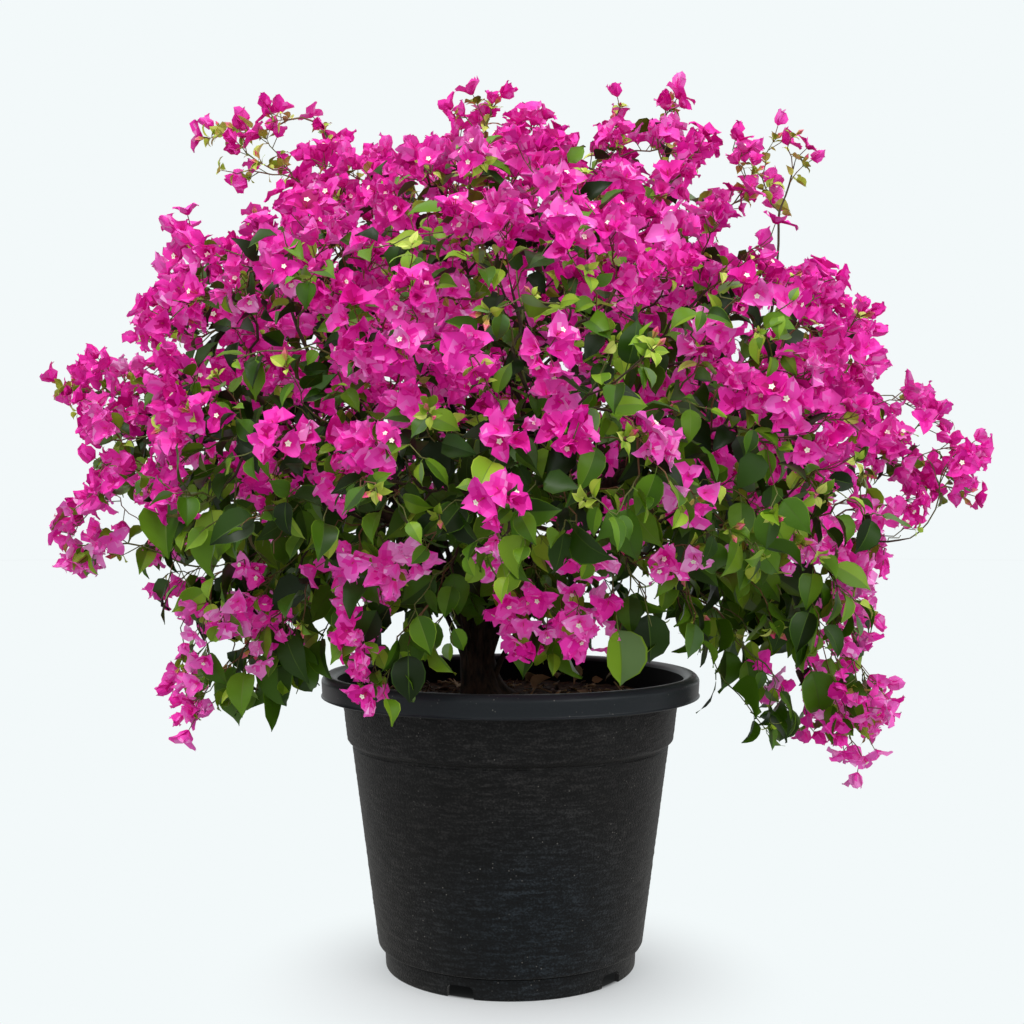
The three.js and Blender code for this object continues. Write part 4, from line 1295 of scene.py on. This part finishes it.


def dress_spray(chain, outward, kind):
    path = skeleton.points[chain]
    heading = skeleton.headings[chain[-1]]
    tip = path[-1]
    low = tip[2] < SKIRT_TOP
    lengths = np.cumsum(np.linalg.norm(np.diff(path, axis=0, prepend=path[:1]), axis=1))
    stretch, gap, (shortest, longest), green = DRESS[kind]
    stretch = min(lengths[-1], stretch)

    def node(back):
        return np.array([np.interp(lengths[-1] - back, lengths, path[:, k]) for k in range(3)])

    if kind == "pendant":
        length = min(PENDANTS, key=lambda leaf: np.linalg.norm(tip - leaf[:3]))[3]
        facing = outward * 0.4 + UP * 0.3 - np.array([0, 1, 0]) + rng.normal(0, 0.15, 3)
        put_leaf(tip, rng.normal(0, 0.13, 3) - UP, facing, length, rng.normal(green, 0.5))
        return

    turn = rng.uniform(0, TURN)
    tone = rng.normal(green, 0.7)
    growth = 1.22 if low and kind != "young" else 1.0
    inner, bloom = kind == "inner", kind == "bloom"
    # inner leaves are painted paler towards the top, where their painted shade thins; the others
    # follow PALER
    tone += np.interp(tip[2], (0.62, 0.85), (0, 1.5)) if inner else np.interp(tip[2], HEIGHTS, PALER)
    for i in range(max(3, round(stretch / gap))):
        turn += GOLDEN_TURN
        if bloom and rng.random() < 0.3:
            continue
        side = sideways(heading, turn)
        down = rng.uniform(0.5, 1.4) if low else rng.uniform(0.0, 0.7)
        direction = unit(heading * 0.25 + side + outward * 0.45 - UP * down)
        facing = unit(outward * 0.8 + UP * rng.uniform(0.4, 1.1) + rng.normal(0, 0.36, 3))
        size = rng.uniform(shortest, longest) * growth * (1 if inner else 0.55 + 0.45 * min(1, i / 2))
        size *= np.interp(tip[2], (0.55, 0.68), (1, 0.78))
        back = 0.016 if bloom and not low else 0
        put_leaf(node(back + gap * (i + rng.uniform(0, 0.7))), direction, facing, size,
                 tone + (0.9 if i == 0 and not inner else 0), inner)
    if kind in ("bloom", "young"):
        pink = rng.normal(4.3 if low else 3.3, 0.5)
        count = rng.integers(*((4, 7) if low else (5, 9)) if bloom else (1, 4))
        turn = rng.uniform(0, TURN)
        for i in range(count):
            turn += GOLDEN_TURN
            spread = 0.35 + 0.8 * math.sqrt(i / count)
            lean = outward + sideways(outward, turn) * spread + rng.normal(0, 0.15, 3)
            lean = lean + UP * (-0.3 if low else 0.2)
            put_blossom(node(stretch * 0.8 * i / count), lean, rng.uniform(0.009, 0.02),
                        rng.uniform(*BRACT_LENGTHS), pink)
    tufted = {"young": 1, "sprout": 1, "bloom": 0.22, "leafy": 0.25}.get(kind, 0)
    if tufted == 1 or (tufted and rng.random() < tufted):
        tuft(tip, unit(heading + outward * 0.4), rng.uniform(0.012, 0.019))


def make_foliage():
    green = dict(Specular_IOR_Level=0.22)
    # the leaves and bracts glow a little: painted light for the light that shines through them
    leaf_materials = family("leaf green", LEAF_COLORS, 0.44, 0.035, **green)
    leaf_materials += family("leaf sheen", PAINTED_SHEEN_COLORS, 0.42, **green)
    leaf_materials += family("leaf rib", RIB_COLORS, 0.55, **green)
    bract_materials = family("bract", BRACT_COLORS, 0.6, 0.19, Specular_IOR_Level=0.2)
    bract_materials += family("bud", BUD_COLORS, 0.6)
    bract_materials += [plain("flower " + part, color, 0.6) for part, color in FLOWER_COLORS.items()]
    leaf_shapes = [leaf_shape(True) for _ in range(FINE_LEAVES)]
    leaf_shapes += [leaf_shape(False) for _ in range(COARSE_LEAVES)]
    blossom_shapes = [blossom_shape(openness, i % 3 == 0)
                      for i, openness in enumerate(np.linspace(0, 1, OPEN_BLOSSOMS))]
    blossom_shapes += [bud_shape() for _ in range(BUDS)]
    for chain, outward, kind in sprays:
        dress_spray(chain, outward, kind)
    leaves.build("leaves", leaf_shapes, leaf_materials, "leaf")
    blossoms.build("blossom", blossom_shapes, bract_materials, "blossom")


# ---- soil ----------------------------------------------------------------------------------
CLODS, CRUMBS = (55, 0.004), (150, 0.0028)  # each how many to a metre, and how high
SOIL_DOME, SOIL_DOME_SPREAD = 0.009, 0.004  # round the trunk
TRUNK_FOOT, TRUNK_CLEAR = (-0.033, 0), 0.042  # litter lies no closer to it


def make_soil():
    low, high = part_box("soil")
    radius = high.x - 0.0005
    rings, segments = 60, 120
    points = np.empty((rings + 1, segments, 3))
    for i in range(rings + 1):
        r = radius * max(i / rings, 0.004)
        for k, a in enumerate(circle(segments)):
            x, y = r * math.cos(a), r * math.sin(a)
            clods = noise.noise(Vector((x, y, 0)) * CLODS[0]) * CLODS[1]
            crumbs = noise.noise(Vector((x, y, 3)) * CRUMBS[0]) * CRUMBS[1]
            dome = SOIL_DOME * math.exp(-((x + 0.034) ** 2 + y * y) / SOIL_DOME_SPREAD)
            points[i, k] = (x, y, high.z - 0.002 + (clods + crumbs) + dome)
    heap = Heap()
    heap.add(points.reshape(-1, 3), grid_faces(rings + 1, segments, closed=True), 0)
    # the sides and underside, just inside the pot's wall and above its floor
    inside, foot = WALL + 0.001, low.z + 0.001
    sides = lathe(np.array([[radius, high.z - 0.004], [SHOULDER_RADIUS - inside, SHOULDER],
                            [BODY_FOOT_RADIUS - inside, foot], [0.001, foot]]), segments)
    heap.add(sides.reshape(-1, 3), grid_faces(4, segments, closed=True)[:, ::-1], 0)
    material = grained("potting soil", 0.95, 0.15, (160, 6),
                       ((0.35, srgb(24, 17, 12)), (0.75, srgb(84, 60, 40))), 0.7, 0.002)
    soil = heap.build("soil_surface", [material])
    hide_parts("soil")
    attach(soil, "root")


LITTER_COLORS = [srgb(*c) for c in (
    (52, 36, 25), (80, 56, 36), (112, 82, 52), (142, 114, 76), (104, 92, 48))]
CHIPS, DEAD_TWIGS, DEAD_LEAVES = 230, 46, 26
CHIP_OUTLINE = ((-1, -0.7), (0.2, -1), (1, 0.1), (0.3, 1), (-0.9, 0.6))


def make_litter():
    """Chips of bark, bits of twig and dead leaves on the soil."""
    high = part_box("soil")[1]
    reach = high.x - 0.012
    heap = Heap()

    def place():
        while True:
            angle, r = rng.uniform(0, TURN), reach * math.sqrt(rng.random())
            x, y = r * math.cos(angle), r * math.sin(angle)
            if math.hypot(x - TRUNK_FOOT[0], y - TRUNK_FOOT[1]) > TRUNK_CLEAR:
                return np.array([x, y, high.z + 0.0015])

    for _ in range(CHIPS):
        size = rng.uniform(0.004, 0.015), rng.uniform(0.002, 0.006), rng.uniform(0.0008, 0.002)
        base = np.array([[x, y, z] for z in (-1, 1) for x, y in CHIP_OUTLINE]) * np.array(size) / 2
        base *= rng.uniform(0.75, 1.25, base.shape)
        turn = Matrix.Rotation(rng.uniform(0, TURN), 3, "Z")
        turn = turn @ Matrix.Rotation(rng.normal(0, 0.4), 3, "Y")
        points = base @ np.array(turn).T + place()
        heap.add_prism(points, rng.integers(4))
    for _ in range(DEAD_TWIGS):
        start = place()
        away = unit(np.append(rng.normal(0, 1, 2), rng.uniform(0, 0.25))) * rng.uniform(0.015, 0.045)
        bend = rng.normal(0, 0.003, 3) + UP * 0.002
        path = np.array([start, start + away / 2 + bend, start + away])
        heap.add(*tube(path, (0.0011, 0.001, 0.0006), 5), rng.integers(1, 4))
    shapes = [leaf_shape(False) for _ in range(4)]
    spots = np.array([place() for _ in range(DEAD_LEAVES)]) + UP * 0.002
    flat = rng.normal(0, 1, (DEAD_LEAVES, 3)) * (1, 1, 0.2)
    headings = unit(flat + UP * rng.choice((0.1, 0.1, 1.4), DEAD_LEAVES)[:, None])
    frames = axes_for(headings, unit(rng.normal(0, 0.6, (DEAD_LEAVES, 3)) + UP))
    kinds = rng.integers(4, size=DEAD_LEAVES)
    palette = rng.integers(1, 5, (DEAD_LEAVES, 1)) * np.ones((1, 5), int)
    for kind, shape in enumerate(shapes):
        pick = kinds == kind
        if pick.any():
            sizes = rng.uniform(0.018, 0.034, pick.sum())
            copy_shape(heap, shape, frames[pick], spots[pick], sizes, palette[pick])
    litter = heap.build("soil_litter", family("litter", LITTER_COLORS, 0.9))
    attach(litter, "root")


# ---- stage ---------------------------------------------------------------------------------
WALL_COLOR = srgb(243, 249, 250)
SKY_LIGHT = 1.35
UNDER_LIGHT = 0.36
EYE = (0.0017, -1.588, 0.4995)  # where the front view is taken from
FLOOR_RADIUS = 14


def make_stage():
    scene = bpy.context.scene
    scene.view_settings.view_transform = "Standard"

    def add_object(name, data, place, turn):
        obj = bpy.data.objects.new(name, data)
        obj.location = place
        obj.rotation_euler = turn
        scene.collection.objects.link(obj)
        return obj

    camera = bpy.data.cameras.new("camera")
    camera.lens, camera.sensor_width = 50, 36
    scene.camera = add_object("camera", camera, EYE, (math.pi / 2, 0, 0))
    for name, place, height, size, power in (("key", (-0.9, -1.7, 2.9), 0.6, 1.0, 36),
                                             ("fill", (1.8, -1.6, 1.4), 0.5, 1.6, 14)):
        light = bpy.data.lights.new(name, "AREA")
        light.shape, light.size, light.energy = "DISK", size, power
        way = Vector((0, 0, height)) - Vector(place)
        add_object(name, light, place, way.to_track_quat("-Z", "Y").to_euler())

    # a pale wall all round at eye height, a brighter soft ceiling and a dim floor beneath
    scene.world = bpy.data.worlds.new("white studio")
    paint = Paint(scene.world)
    height = paint.add("SeparateXYZ", "Z", {0: paint.coordinates["Generated"]})
    wall = [v / SKY_LIGHT for v in WALL_COLOR[:3]] + [1]
    shades = paint.ramp(paint.fade(height, -1), (0.478, (*[UNDER_LIGHT] * 3, 1)), (0.483, wall),
                        (0.70, wall), (0.82, WHITE))
    paint.feed(paint.tree.nodes["Background"], {"Color": shades, "Strength": SKY_LIGHT})

    # a floor that takes a soft shadow near the pot and melts into the wall further away; under the
    # pot it is painted nearly black, a painted shadow seen through the notches
    bpy.ops.mesh.primitive_circle_add(vertices=96, radius=FLOOR_RADIUS, fill_type="NGON")
    floor = bpy.context.object
    floor.name = "floor"
    material = plain("pale floor", WALL_COLOR, 0.9, Specular_IOR_Level=0.0)
    paint = Paint(material)
    under = paint.add("VectorMath", "Value", {0: paint.place}, operation="LENGTH")
    # painted shadow: the floor is nearly black within the pot's foot ring
    dim = paint.fade(under, FOOT_RADIUS - FOOT_WALL, FOOT_RADIUS - 0.001, 0.04)
    shader = paint.tree.nodes["Principled BSDF"]
    paint.feed(shader, {"Base Color": paint.mix("MIX", dim, srgb(20, 20, 20), srgb(208, 209, 210))})
    away = paint.add("VectorMath", "Value", {0: paint.place, 1: (0, -0.05, 0)}, operation="DISTANCE")
    far = paint.fade(away, 0, 0.32, smooth=True)
    lit = paint.add("Math", "Value", {0: far, 1: dim}, operation="MULTIPLY")
    glow = paint.add("Emission", "Emission", {"Color": WALL_COLOR})
    blend = paint.add("MixShader", "Shader", {"Fac": lit, 1: shader.outputs["BSDF"], 2: glow})
    paint.feed(paint.tree.nodes["Material Output"], {"Surface": blend})
    floor.data.materials.append(material)
    floor.visible_diffuse = False
    floor.visible_glossy = False


make_stage()
make_pot()
make_soil()
make_litter()
make_limbs()
grow_masses()
make_foliage()
make_twigs()

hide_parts(*masses)
